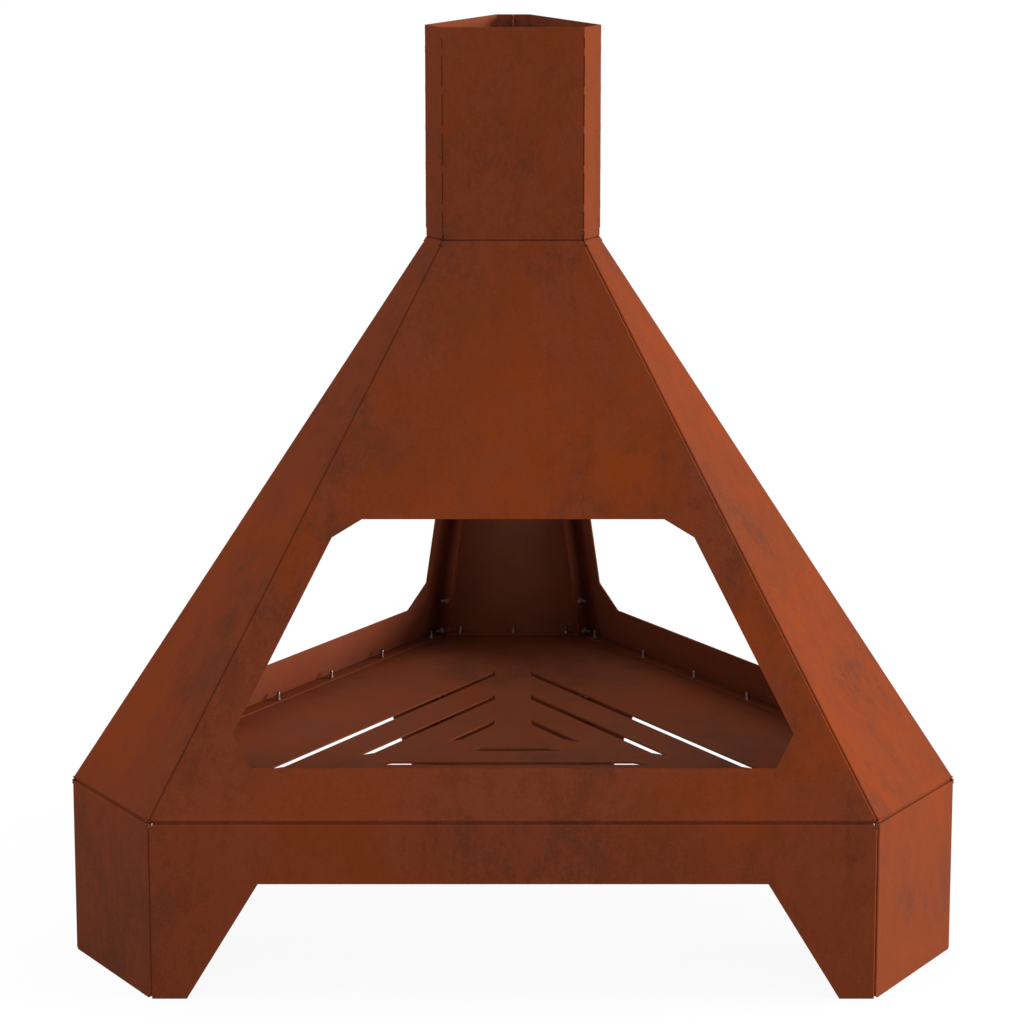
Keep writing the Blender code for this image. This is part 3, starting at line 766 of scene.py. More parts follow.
@dataclass(frozen=True)
class Chimney:
    """Six-sided chimney, folded from one sheet along perforated lines and joined behind."""

    tab_depth: float = 0.020
    joint_depth: float = 0.020
    joint_start: float = 0.020
    joint_gap: float = 0.00004
    slit_half: float = 0.0011
    fine_slit_half: float = 0.0003
    top_band: float = 0.015
    foot_band: float = 0.016
    bridge: float = 0.011
    bridges: int = 5
    first_bridge: float = 0.034
    last_bridge: float = 0.254
    notch_height: float = 0.013
    notch_half: float = 0.002

    def slits(self) -> Array:
        """The slits of a folded edge.

        Returns:
            Lower and upper level of each, from the foot up.
        """
        middles = np.linspace(self.first_bridge, self.last_bridge, self.bridges)
        tops = np.concatenate([[self.top_band], middles + self.bridge / 2])
        feet = np.concatenate([middles - self.bridge / 2, [FLUE.height - self.foot_band]])
        return (FLUE.height - np.column_stack([feet, tops]))[::-1]

    def folded_edge(self, x: float, setback: float, clear: bool) -> Array:
        """Outline up a folded edge: the notch at its foot, then a step in for each slit.

        Args:
            x: The edge's place in the panel.
            setback: The level at which the foot's bend begins.
            clear: Whether its slits are wide enough to show clearly.

        Returns:
            x and v of its points.
        """
        toward = math.copysign(1, x)
        slit_half = self.slit_half if clear else self.fine_slit_half
        inner = x - toward * slit_half / math.cos(SIXTH / 2)
        notch = x - toward * self.notch_half
        levels = np.repeat(self.slits().reshape(-1), 2)
        steps = np.tile([x, inner, inner, x], len(levels) // 4)
        foot = [(notch, setback), (notch, self.notch_height), (x, self.notch_height)]
        return np.array(foot + list(zip(steps, levels)) + [(x, FLUE.height)])

    def tab(self, first: float, last: float, skews: tuple[int, int]) -> Fold:
        """Level tab at a side's foot, mitred where a skew is 1."""
        mitre = self.tab_depth / math.tan(SIXTH) + FLANGES.mitre_gap - self.notch_half
        return Fold(np.zeros(3), RIGHT, first, last, math.pi / 2,
                    (self.tab_depth, self.tab_depth), (mitre * skews[0], -mitre * skews[1]))

    def side_face(self, place: Place) -> Surface:
        """The outer face of one whole side, with clear slits at the two front folds.

        Args:
            place: Which side.

        Returns:
            The face and its tab, in the row frame.
        """
        side = FLUE.side(place.wide)
        half = side.half_foot
        tab = self.tab(self.notch_half - half, half - self.notch_half, (1, 1))
        right = self.folded_edge(half, tab.setback, place in (Place.FRONT, Place.LEFT_CORNER))
        left = self.folded_edge(-half, tab.setback, place in (Place.FRONT, Place.RIGHT_CORNER))
        part = folded_sheet(np.concatenate([right, left[::-1]]), [tab], place.turn)
        return side.placed(part, place.turn)

    def back_half(self) -> Surface:
        """The outer face of the back's left half, up to the joint.

        Returns:
            The face, its tab and the joint's flange, in panel coordinates.
        """
        joint = Fold(np.array([-self.joint_gap / 2, 0, 0]), np.array([0, 1.0, 0]),
                     self.joint_start, FLUE.height, math.pi / 2,
                     (self.joint_depth, self.joint_depth))
        edge = joint.place(0, joint.setback)[0]
        half = FLUE.side(False).half_foot
        tab = self.tab(self.notch_half - half, edge, (1, 0))
        middle = [(edge, tab.setback), (edge, joint.first), (edge, joint.last)]
        outline = np.concatenate([middle, self.folded_edge(-half, tab.setback, False)[::-1]])
        return folded_sheet(outline, [tab, joint])

    def surface(self) -> Surface:
        """The closed sheet of all six sides."""
        back = Surface.joined([self.back_half(), self.back_half().mirrored()])
        parts = [self.side_face(place) for place in ALL_BUT_BACK]
        parts.append(FLUE.side(False).placed(back, Place.BACK_CORNER.turn))
        return Surface.joined(parts).thickened(GAUGE.sheet)

    def build(self, finishes: "Finishes") -> None:
        """Make the chimney."""
        # The inner face takes the lighter copy of the rust: painted fill light.
        self.surface().piece("chimney_sheet", finishes.panel, "panel_steel", ["chimney"],
                             finishes.lining)


@dataclass(frozen=True)
class FirePlate:
    """Slotted plate between base and hood: three families of slots that end at the spokes."""

    inset: float = 0.004
    slot_width: float = 0.0135
    first: float = 0.0665
    pitch: float = 0.073
    slots: int = 3
    setback: float = 0.056

    def sector(self) -> Surface:
        """The third of the plate that lies in front of the centre.

        A row of the grid is a line at a distance d in front of the centre. It reaches from spoke
        to spoke, x = -d tan 60 to d tan 60, and a slot fills it up to the setback from each.
        Past the middle of the narrow sides the rows end on the plate's edge instead.

        Returns:
            Its upper face.
        """
        wide = BASE_PLAN.out(True) - self.inset
        narrow = BASE_PLAN.out(False) - self.inset
        middles = self.first + self.pitch * np.arange(self.slots)
        edges = np.column_stack([middles - self.slot_width / 2, middles + self.slot_width / 2])
        rows = np.concatenate([[0], edges.reshape(-1), [narrow / 2, wide]])
        reach = rows * math.sqrt(3)
        reach[-1] = (2 * narrow - wide) / math.sqrt(3)
        slot = np.maximum(reach - self.setback, 0)
        x = np.stack([-reach, -slot, slot, reach], 1)
        y = np.broadcast_to(-rows[:, None], x.shape)
        points = np.stack([x, y, np.full(x.shape, PLATE_Z + GAUGE.plate)], -1)
        keep = np.ones((len(rows) - 1, 3), bool)
        keep[1:-2:2, 1] = False
        return Surface.grid(points, np.broadcast_to(UP, points.shape), points[..., :2], keep)

    def build(self, finishes: "Finishes") -> None:
        """Make the plate.

        Args:
            finishes: All finishes.
        """
        sector = self.sector()
        parts = [sector.turned(spin(turn), CENTRE) for turn in (0, THIRD, -THIRD)]
        whole = Surface.joined(parts).thickened(GAUGE.plate)
        whole.piece("fire_plate_sheet", finishes.plate, "plate_steel", ["fire_plate"])


def ring(angles: Array, radius: Array | float, height: Array | float) -> Array:
    """Points round the axis, at arrays or single values of radius and height."""
    return np.stack(np.broadcast_arrays(radius * np.cos(angles), radius * np.sin(angles),
                                        height), -1)


def sided(points: Array) -> Surface:
    """Grid of points as flat-shaded faces, turned to look away from their middle.

    Args:
        points: Rows and columns of points.

    Returns:
        The faces, each with its own normal.
    """
    part = Surface.grid(points, np.zeros(points.shape), points[..., :2] * 0)
    middle = points.reshape(-1, 3).mean(0)
    centre = np.add.reduceat(part.points[part.corners], part.starts) / 4 - middle
    part = part.reversed_where(np.einsum("ij,ij->i", part.areas(), centre) < 0)
    area = part.areas()
    area /= np.maximum(np.linalg.norm(area, axis=1, keepdims=True), TINY)
    return replace(part, normals=np.repeat(area, part.sizes, 0))


@dataclass(frozen=True)
class Fastener:
    """Hexagonal bolt and nut of 6 mm, with chamfered corners and a rolled thread."""

    radius: float = 0.003
    root: float = 0.00243
    pitch: float = 0.001
    length: float = 0.020
    across: float = 0.010
    face_share: float = 0.96
    core: float = 0.0025
    head: float = 0.004
    nut: float = 0.005
    around: int = 48
    thread_around: int = 20
    thread_steps: int = 4

    def hexagon(self, low: float, high: float, inner: float) -> Surface:
        """Hexagonal block with both ends' corners turned off at 30 degrees.

        The outline's radius against angle t is half / cos(t - nearest flat's t), and each end is
        lowered by tan 30 times what that radius exceeds a circle just inside the flats.

        Args:
            low: The level of its lower end.
            high: The level of its upper end.
            inner: Radius of the round hole or cap in both ends.

        Returns:
            Its flats, chamfers and ends.
        """
        angles = np.linspace(0, 2 * math.pi, self.around + 1)
        off = (angles + SIXTH / 2) % SIXTH - SIXTH / 2
        outline = self.across / 2 / np.cos(off)
        circle = self.across / 2 * self.face_share
        drop = (outline - circle) * math.tan(SIXTH / 2)
        profile = [(inner, low), (circle, low), (outline, low + drop), (outline, high - drop),
                   (circle, high), (inner, high)]
        return sided(np.stack([ring(angles, *row) for row in profile]))

    def thread(self) -> Surface:
        """Threaded shank.

        The radius at height z and angle t follows a triangle wave of (z / pitch - t / turn)
        between root and crest, and shrinks to the root at the tip.

        Returns:
            Its round face.
        """
        turns = round(self.length / self.pitch)
        angles = np.linspace(0, 2 * math.pi, self.thread_around + 1)
        z = np.linspace(0, self.length, turns * self.thread_steps + 1)[:, None]
        wave = np.abs((z / self.pitch - angles / (2 * math.pi)) % 1 * 2 - 1)
        taper = np.clip((self.length - z) / self.pitch, 0, 1)
        return sided(ring(angles, self.root + (self.radius - self.root) * wave * taper, z))

    def cap(self, radius: float, height: float, way: float, count: int) -> Surface:
        """Flat round end that looks up where way is 1 and down where it is -1."""
        outline = ring(np.arange(count) * 2 * math.pi / count, radius, height)
        return Surface.polygon(outline, UP * way, outline[:, :2] * 0)

    def bolt(self) -> Surface:
        """Head and threaded shank.

        Returns:
            The bolt, pointing up, with its bearing face at the origin.
        """
        return Surface.joined([self.hexagon(-self.head, 0, self.core),
                               self.cap(self.core, -self.head, -1, self.around),
                               self.cap(self.core, 0, 1, self.around), self.thread(),
                               self.cap(self.root, self.length, 1, self.thread_around)])

    def nut_block(self) -> Surface:
        """Nut with its bearing face at the origin."""
        return self.hexagon(0, self.nut, self.root)


def set_at(shape: Surface, spots: Spots, shift: float) -> Surface:
    """Copies of a bolt or a nut.

    Args:
        shape: One of them, pointing up.
        spots: Where they go.
        shift: How far each is moved along its direction.

    Returns:
        All copies as one surface.
    """
    points, ways = spots
    reference = np.where(np.abs(ways[:, 2:]) > NEARLY_UPRIGHT, RIGHT[None], UP[None])
    across = np.cross(reference, ways)
    across /= np.linalg.norm(across, axis=1, keepdims=True)
    axes = np.stack([across, np.cross(ways, across), ways], -1)
    copies = [shape.turned(*spot) for spot in zip(axes, points + ways * shift)]
    return Surface.joined(copies).welded()


@dataclass(frozen=True)
class Fasteners:
    """Every bolt and nut, at the places that the CAD part gives them."""

    rim_inset: float = 0.0215
    rim_pitch: float = 0.150
    rim_each_way: int = 3
    rim_corner: float = 0.087
    base_seam: tuple[float, ...] = (0.029, 0.150)
    base_seam_inset: float = 0.018
    hood_seam_foot: Span = (0.033, 0.106)
    hood_seam_middle: float = 0.522
    hood_seam_top: float = 0.070
    seam_share: float = 0.675
    collar_inset: float = 0.012
    collar_along: float = 0.060
    joint_shares: tuple[float, ...] = (1 / 6, 1 / 2, 5 / 6)
    joint_inset: float = 0.012
    short_length: float = 0.016
    shape: Fastener = field(default_factory=Fastener)

    def upright(self, plan: Plan, inset: float, z: float, along: dict[bool, list[float]],
                sides: list[Place]) -> Spots:
        """Upright bolts along the sides of a plan.

        Args:
            plan: The plan of the sides' outer faces.
            inset: How far behind them the bolts stand.
            z: The level of their bearing faces.
            along: Where they stand along a wide side, under True, and along a narrow one.
            sides: The sides that have them.

        Returns:
            Their spots.
        """
        rows = []
        for place in sides:
            spots = along[place.wide]
            depths = np.full(len(spots), inset - plan.out(place.wide))
            flat = np.column_stack([spots, depths, np.full(len(spots), z)])
            rows.append(flat @ spin(place.turn).T + CENTRE)
        points = np.concatenate(rows)
        return points, np.tile(UP, (len(points), 1))

    def rim(self) -> Spots:
        """Rim bolts, upright through base flange, plate and hood flange."""
        wide = [self.rim_pitch * n for n in range(-self.rim_each_way, self.rim_each_way + 1)]
        along = {True: wide, False: [-self.rim_corner, 0, self.rim_corner]}
        return self.upright(BASE_PLAN, self.rim_inset, PLATE_Z, along, list(Place))

    def collar(self) -> Spots:
        """Collar bolts, upright from the hood's top flange into the chimney's tabs."""
        along = {True: [-self.collar_along, self.collar_along], False: [0]}
        return self.upright(FLUE_PLAN, self.collar_inset, HOOD_TOP, along, ALL_BUT_BACK)

    def seam(self, tier: Tier, ups: Array, insets: Array) -> Spots:
        """Bolts through both seams of all three narrow sides, headed on the narrow side.

        Args:
            tier: The tier.
            ups: Their distances up the seam.
            insets: Their distances down the flange from the sharp edge.

        Returns:
            Their spots.
        """
        side = tier.side(True)
        fold = Fold(RIGHT * side.half_foot, side.seam_along, 0, side.seam_length,
                    tier.seam_turn, (0, 0))
        flat = fold.origin + np.outer(ups, fold.along) + np.outer(insets, fold.flange_way)
        local = flat @ side.axes.T + side.origin
        way = side.axes @ -fold.flange_normal
        points, ways = [], []
        for place in (Place.BACK_CORNER, Place.RIGHT_CORNER, Place.LEFT_CORNER):
            for mirror in (1, -1):
                flip = np.array([mirror, 1, 1])
                whole = spin(place.turn - mirror * SIXTH)
                points.append((local * flip) @ whole.T + CENTRE)
                ways.append(np.tile(whole @ (way * flip), (len(ups), 1)))
        return np.concatenate(points), np.concatenate(ways)

    def base_seams(self) -> Spots:
        """Bolts of the base's upright seams."""
        ups = np.array(self.base_seam)
        return self.seam(BASE, ups, np.full(len(ups), self.base_seam_inset))

    def hood_seams(self) -> Spots:
        """Bolts of the hood's leaning seams, at one share of the tapering flange's depth.

        Returns:
            Their spots.
        """
        length = HOOD.side(True).seam_length
        ups = np.array([*self.hood_seam_foot, length * self.hood_seam_middle,
                        length - self.hood_seam_top])
        foot, top = FLANGES.hood_seam_depths
        return self.seam(HOOD, ups, self.seam_share * (foot + (top - foot) * ups / length))

    def joint(self) -> Spots:
        """Bolts of the chimney sheet's own joint.

        Returns:
            Their spots.
        """
        y = FLUE_PLAN.out(False) - self.joint_inset
        z = FLUE.foot_z + FLUE.height * np.array(self.joint_shares)
        points = np.column_stack([np.zeros(len(z)), np.full(len(z), y), z]) + CENTRE
        return points, np.tile(RIGHT, (len(z), 1))

    def build(self, finishes: "Finishes") -> None:
        """Make all sets: bolts where their CAD nodes are, and nuts on the far faces.

        A seat is a flange's far face, from the middle of the joint, and a grip is one gap
        beyond it. A set whose bolts have CAD nodes, numbered from 01, stands for them.

        Args:
            finishes: All finishes.
        """
        gap = GAUGE.gap
        grip = GAUGE.sheet + gap * 3 / 2
        seat = GAUGE.sheet + gap / 2
        short = replace(self.shape, length=self.short_length).bolt()
        bolt, nut = self.shape.bolt(), self.shape.nut_block()
        rim, base, hood = self.rim(), self.base_seams(), self.hood_seams()
        collar, joint = self.collar(), self.joint()
        for word, shape, spots, shift, has_nodes in (
                ("rim_bolt", bolt, rim, -(GAUGE.sheet + gap * 2), True),
                ("base_seam_bolt", bolt, base, -grip, True),
                ("base_seam_nut", nut, base, seat, False),
                ("hood_seam_bolt", short, hood, -seat, False),
                ("hood_seam_nut", nut, hood, seat, False),
                ("collar_bolt", bolt, collar, -GAUGE.sheet, False),
                ("collar_nut", nut, collar, seat + gap, False),
                ("chimney_joint_bolt", bolt, joint, -grip, True),
                ("chimney_joint_nut", nut, joint, seat, False)):
            nodes = range(1, len(spots[0]) + 1) if has_nodes else ()
            set_at(shape, spots, shift).piece(
                f"{word}_set", finishes.nut if shape is nut else finishes.bolt, "bolt_steel",
                [f"{word}_{n:02}" for n in nodes])


@dataclass(frozen=True)
class Noise:
    """A noise: its scale, its detail and the strength that each finer step of it keeps."""

    scale: float
    detail: float
    keep: float = 0.5


NOISE_MIDDLE = 0.5


class Graph:
    """A node tree with short ways to add nodes and join them."""

    def __init__(self, tree: bpy.types.NodeTree) -> None:
        """Keep the tree."""
        self.tree = tree

    def feed(self, node: bpy.types.Node, values: dict) -> None:
        """Fill a node's inputs.

        Args:
            node: The node.
            values: By name or number of an input, its number or colour, or what is linked to it.
        """
        for name, value in values.items():
            if isinstance(value, Socket):
                self.tree.links.new(value, node.inputs[name])
            else:
                node.inputs[name].default_value = value

    def node(self, kind: str, values: dict | None = None, **settings: object) -> bpy.types.Node:
        """Add a node.

        Args:
            kind: Its type.
            values: What feeds its inputs.
            settings: Its own properties.

        Returns:
            The node.
        """
        node = self.tree.nodes.new(kind)
        for name, value in settings.items():
            setattr(node, name, value)
        self.feed(node, values or {})
        return node

    def maths(self, operation: str, *values: object) -> Socket:
        """The result of a Math node."""
        return self.node("ShaderNodeMath", dict(enumerate(values)), operation=operation).outputs[0]

    def vector(self, operation: str, first: object, second: object) -> Socket:
        """The result of a Vector Math node, which is a number where it is a distance."""
        node = self.node("ShaderNodeVectorMath", {0: first, 1: second}, operation=operation)
        return node.outputs["Value" if operation == "DISTANCE" else "Vector"]

    def noise(self, place: Socket, noise: Noise, scale: Socket | None = None) -> Socket:
        """A noise from 0 to 1.

        Args:
            place: Where it is read.
            noise: Which one.
            scale: What sets its scale instead, and leaves it unclipped and centred on 0.

        Returns:
            Its value.
        """
        given = noise.scale if scale is None else scale
        return self.node("ShaderNodeTexNoise", {"Vector": place, "Scale": given,
                                                "Detail": noise.detail, "Roughness": noise.keep},
                         normalize=scale is None).outputs["Fac"]

    def ramp(self, value: Socket, low: float, high: float, to_low: float = 0,
             to_high: float = 1) -> Socket:
        """A smooth step.

        Args:
            value: What is mapped.
            low: Where the step begins.
            high: Where it ends.
            to_low: The result up to its beginning.
            to_high: The result from its end on.

        Returns:
            The result.
        """
        limits = {"Value": value, "From Min": low, "From Max": high, "To Min": to_low,
                  "To Max": to_high}
        return self.node("ShaderNodeMapRange", limits,
                         interpolation_type="SMOOTHSTEP").outputs["Result"]

    def mixed(self, share: object, first: object, second: object) -> Socket:
        """A colour between two colours."""
        return self.node("ShaderNodeMix", {0: share, 6: first, 7: second}, data_type="RGBA",
                         clamp_factor=True).outputs[2]


COLOUR = "NodeSocketColor"
NUMBER = "NodeSocketFloat"
VECTOR = "NodeSocketVector"


def new_group(name: str, inputs: dict[str, str]) -> tuple[Graph, dict[str, Socket]]:
    """A shader node group that puts out a colour, a roughness and a height.

    Args:
        name: Its name.
        inputs: Each input's socket type.

    Returns:
        A graph to fill it with, and its inputs by name.
    """
    tree = bpy.data.node_groups.new(name, "ShaderNodeTree")
    outputs = {"Colour": COLOUR, "Roughness": NUMBER, "Height": NUMBER}
    for way, sockets in (("INPUT", inputs), ("OUTPUT", outputs)):
        for word, kind in sockets.items():
            tree.interface.new_socket(word, in_out=way, socket_type=kind)
    graph = Graph(tree)
    given = graph.node("NodeGroupInput").outputs
    return graph, {word: given[word] for word in inputs}


@dataclass(frozen=True)
class LargePatch:
    """One large patch: its middle, its reach, and how dull it is, or how bright below 0."""

    middle: Triple
    reach: float
    dullness: float


# Large patches, dull above 0 and bright below. Most are the rust's own dull and bright marks; the
# two that lighten the hood's left corner are painted light, and the two on the base's left corner
# are partly painted shade.
STAINS_AND_PAINTED_LIGHT = (LargePatch((-0.12, -0.21, 0.96), 0.18, 1.1), LargePatch((-0.20, -0.28, 0.80), 0.17, 0.9),
          LargePatch((-0.28, -0.34, 0.67), 0.15, 0.8), LargePatch((-0.36, -0.43, 0.52), 0.17, 1.1),
          # The second patch on this line and the first on the line after next darken the base's
          # left corner: duller rust there, and painted shade near the floor.
          LargePatch((-0.43, -0.49, 0.37), 0.16, 1.1), LargePatch((-0.57, -0.43, 0.12), 0.36, 1.4),
          LargePatch((-0.09, -0.52, 0.29), 0.13, 0.8), LargePatch((0.04, -0.54, 0.19), 0.24, 1.2),
          LargePatch((-0.61, -0.40, 0.14), 0.20, 0.7), LargePatch((0.32, -0.54, 0.12), 0.30, 0.8),
          LargePatch((0.19, -0.20, 0.88), 0.16, 0.3), LargePatch((0.02, -0.19, 1.12), 0.28, 0.5),
          LargePatch((0.42, -0.47, 0.36), 0.24, -2.0), LargePatch((0.54, -0.36, 0.36), 0.30, -1.5),
          # These two lighten the hood's left corner, which the key light leaves in shade: painted
          # fill light.
          LargePatch((-0.38, -0.29, 0.58), 0.22, -1.3), LargePatch((-0.53, -0.37, 0.35), 0.20, -2.2),
          LargePatch((0.09, -0.34, 0.68), 0.13, -0.9))


@dataclass(frozen=True)
class RustPattern:
    """Weathered steel: dull and bright patches drawn out downwards, dust, specks, runs, grain.

    The patches follow a sum c of noises whose scale doubles and whose strength falls by a fifth
    each time, strongest in the middle of the front, and of the large patches, most of them the
    rust's own, some painted light and shade. Above 0 the sheet turns dull, below 0 bright. A
    second sum of noises lays on the dust, and the peaks of a third, fine one are bright specks.
    """

    drawn: Triple = (1.0, 1.0, 0.6)
    patches: Noise = Noise(1.0, 9.0, 0.80)
    turned_at: float = 1.3
    lively_middle: Triple = (-0.05, -0.35, 0.72)
    lively_reach: Span = (0.30, 0.55)
    liveliness: Span = (1.35, 0.80)
    dust: Noise = Noise(3.5, 8.0, 0.94)
    dust_shift: Triple = (3.1, 7.7, 1.9)
    dust_range: float = 0.7
    specks: Noise = Noise(150.0, 2.0, 0.6)
    speck_range: Span = (0.58, 0.75)
    speck_share: float = 0.5
    grain: Noise = Noise(260.0, 3.0, 0.75)
    runs: Noise = Noise(1.0, 3.0, 0.6)
    run_stretch: Triple = (55.0, 2.2, 1.0)
    rough_range: float = 0.8
    roughness: Span = (0.82, 0.95)
    dust_relief: float = 0.2

    def summed_patches(self, graph: Graph, place: Socket, wander: Socket) -> Socket:
        """Sum of the large patches' dullness, painted light and shade among them.

        Each falls off smoothly from its middle to its reach, and the distance is first changed
        by half of the reach times the wandering noise, so that the outline is uneven.

        Args:
            graph: The group's graph.
            place: Where the pattern is read.
            wander: The noise.

        Returns:
            The sum.
        """
        total: object = 0.0
        for large_patch in STAINS_AND_PAINTED_LIGHT:
            away = graph.vector("DISTANCE", place, large_patch.middle)
            uneven = graph.maths("MULTIPLY_ADD", wander, large_patch.reach / 2, away)
            fall = graph.ramp(uneven, 0.0, large_patch.reach, large_patch.dullness, 0.0)
            total = graph.maths("ADD", fall, total)
        return total

    def group(self) -> bpy.types.NodeTree:
        """Build the pattern once, for all materials that use it.

        Returns:
            The node group, with its colours and strengths as inputs.
        """
        graph, given = new_group("weathered steel", {
            "Place": VECTOR, "Sheet": VECTOR, "Base": COLOUR, "Dull": COLOUR, "Bright": COLOUR,
            "Dust": COLOUR, "Patch Size": NUMBER, "Patches": NUMBER, "Large Patches": NUMBER,
            "Dusting": NUMBER, "Runs": NUMBER, "Grain": NUMBER})
        place = given["Place"]
        drawn = graph.vector("MULTIPLY", place, self.drawn)
        scale = graph.maths("DIVIDE", self.patches.scale, given["Patch Size"])
        patches = graph.noise(drawn, self.patches, scale)
        dust = graph.noise(graph.vector("ADD", drawn, self.dust_shift), self.dust,
                           graph.maths("MULTIPLY", scale, self.dust.scale))
        grain = graph.noise(place, self.grain)
        runs = graph.noise(graph.vector("MULTIPLY", given["Sheet"], self.run_stretch), self.runs)
        large = graph.maths("MULTIPLY", self.summed_patches(graph, place, patches), given["Large Patches"])
        away = graph.vector("DISTANCE", place, self.lively_middle)
        lively = graph.ramp(away, *self.lively_reach, *self.liveliness)
        strength = graph.maths("MULTIPLY", lively, given["Patches"])
        total = graph.maths("MULTIPLY_ADD", patches, strength, large)
        dusted = graph.ramp(dust, -self.dust_range, self.dust_range)
        colour = given["Base"]
        for share, word in (
                (graph.ramp(total, 0.0, self.turned_at), "Dull"),
                (graph.ramp(total, 0.0, -self.turned_at), "Bright"),
                (graph.maths("MULTIPLY", dusted, given["Dusting"]), "Dust"),
                (graph.ramp(graph.noise(place, self.specks), *self.speck_range, 0.0,
                            self.speck_share), "Bright")):
            colour = graph.mixed(share, colour, given[word])
        value: object = 1.0
        for noise, word in ((grain, "Grain"), (runs, "Runs")):
            centred = graph.maths("SUBTRACT", noise, NOISE_MIDDLE)
            value = graph.maths("MULTIPLY_ADD", centred, given[word], value)
        scaled = graph.node("ShaderNodeVectorMath", {0: colour, "Scale": value},
                            operation="SCALE")
        graph.node("NodeGroupOutput", {
            "Colour": scaled.outputs[0],
            "Roughness": graph.ramp(dust, -self.rough_range, self.rough_range, *self.roughness),
            "Height": graph.maths("MULTIPLY_ADD", dust, self.dust_relief, grain)})
        return graph.tree


@dataclass(frozen=True)
class ZincPattern:
    """Zinc-plated steel: faint bluish and yellowish clouds, dull spots and fine scratches."""

    clouds: Noise = Noise(300.0, 4.0)
    spots: Noise = Noise(900.0, 2.0)
    cloud_range: Span = (0.45, 0.7)
    rough_range: Span = (0.3, 0.7)
    roughness: Span = (0.28, 0.5)

    def group(self) -> bpy.types.NodeTree:
        """Build the pattern once, for all materials that use it.

        Returns:
            The node group, with its two colours as inputs.
        """
        graph, given = new_group("zinc plating", {"Place": VECTOR, "Base": COLOUR,
                                                  "Spot": COLOUR})
        clouds = graph.noise(given["Place"], self.clouds)
        share = graph.ramp(clouds, *self.cloud_range)
        graph.node("NodeGroupOutput", {
            "Colour": graph.mixed(share, given["Base"], given["Spot"]),
            "Roughness": graph.ramp(clouds, *self.rough_range, *self.roughness),
            "Height": graph.noise(given["Place"], self.spots)})
        return graph.tree


@dataclass(frozen=True)
class Finish:
    """A material round a pattern group, which gives its colour, roughness and relief."""

    name: str
    base: Triple
    relief: float = field(default=0.00015, kw_only=True)

    def pattern(self, graph: Graph) -> dict[str, object]:
        """What feeds the group besides its place."""
        raise NotImplementedError

    def shading(self) -> dict[str, object]:
        """Plain values of the shader."""
        raise NotImplementedError

    def material(self, group: bpy.types.NodeTree) -> Material:
        """Build the material.

        Args:
            group: The pattern group.

        Returns:
            The material.
        """
        made = bpy.data.materials.new(self.name)
        made.use_nodes = True
        graph = Graph(made.node_tree)
        place = graph.node("ShaderNodeTexCoord").outputs["Object"]
        pattern = graph.node("ShaderNodeGroup", {"Place": place} | self.pattern(graph),
                             node_tree=group).outputs
        bump = graph.node("ShaderNodeBump", {"Height": pattern["Height"],
                                             "Distance": self.relief, "Strength": 1.0})
        graph.feed(graph.tree.nodes["Principled BSDF"], self.shading() | {
            "Base Color": pattern["Colour"], "Roughness": pattern["Roughness"],
            "Normal": bump.outputs[0]})
        return made


@dataclass(frozen=True)
class WeatheredSteel(Finish):
    """Finish of a sheet: its four rust colours, and the size and strength of its pattern."""

    dull: Triple
    bright: Triple
    dust: Triple
    sheen: float = 0.06
    tint: Triple = (1.0, 0.85, 0.45)
    patch_size: float = 0.36
    patches: float = 1.25
    large_patching: float = 1.0
    dusting: float = 0.7
    runs: float = 0.10
    grain: float = 0.34

    def pattern(self, graph: Graph) -> dict[str, object]:
        """What feeds the rust group besides its place.

        Args:
            graph: The material's graph.

        Returns:
            The sheet's own UV map, the colours and the strengths.
        """
        return {"Sheet": graph.node("ShaderNodeUVMap", uv_map="sheet").outputs[0],
                "Base": (*self.base, 1), "Dull": (*self.dull, 1), "Bright": (*self.bright, 1),
                "Dust": (*self.dust, 1), "Patch Size": self.patch_size,
                "Patches": self.patches, "Large Patches": self.large_patching, "Dusting": self.dusting,
                "Runs": self.runs, "Grain": self.grain}

    def shading(self) -> dict[str, object]:
        """A faint tinted sheen."""
        return {"Specular IOR Level": self.sheen, "Specular Tint": (*self.tint, 1)}


@dataclass(frozen=True)
class ZincSteel(Finish):
    """Finish of the bolts and nuts."""

    spot: Triple
    relief: float = field(default=0.00002, kw_only=True)

    def pattern(self, graph: Graph) -> dict[str, object]:
        """The two colours."""
        return {"Base": (*self.base, 1), "Spot": (*self.spot, 1)}

    def shading(self) -> dict[str, object]:
        """Bare metal."""
        return {"Metallic": 1.0}


class Finishes:
    """The materials of all pieces, built once."""

    def __init__(self) -> None:
        """Build both groups and every material."""
        rust = RustPattern().group()
        self.panel = WeatheredSteel(
            "panel rust", base=(0.158, 0.0298, 0.0083), dull=(0.110, 0.0268, 0.0118),
            bright=(0.190, 0.0320, 0.0062), dust=(0.166, 0.0352, 0.0140)).material(rust)
        # Lighter, greyer copy of the rust for inner faces: painted fill light in the shaded
        # inside.
        self.lining = WeatheredSteel(
            "panel rust with painted fill light, inner face", base=(0.190, 0.0450, 0.0200), dull=(0.150, 0.0420, 0.0225),
            bright=(0.215, 0.0450, 0.0180), dust=(0.186, 0.0520, 0.0260),
            sheen=0.0).material(rust)
        # Lighter and greyer still, for the hood's back corner: stronger painted fill light.
        self.sooty_lining = WeatheredSteel(
            "back corner rust with stronger painted fill light", base=(0.235, 0.0600, 0.0290), dull=(0.180, 0.0560, 0.0320),
            bright=(0.260, 0.0600, 0.0260), dust=(0.220, 0.0700, 0.0400),
            sheen=0.20).material(rust)
        self.plate = WeatheredSteel(
            "fire plate rust", base=(0.156, 0.0310, 0.0105), dull=(0.108, 0.0295, 0.0150),
            bright=(0.180, 0.0320, 0.0085), dust=(0.155, 0.0390, 0.0170), patches=2.0,
            dusting=0.9).material(rust)
        zinc = ZincPattern().group()
        self.bolt = ZincSteel("dulled bolt steel", (0.42, 0.35, 0.30),
                              (0.26, 0.19, 0.16)).material(zinc)
        self.nut = ZincSteel("zinc-plated nut steel", (0.68, 0.60, 0.54),
                             (0.48, 0.40, 0.34)).material(zinc)


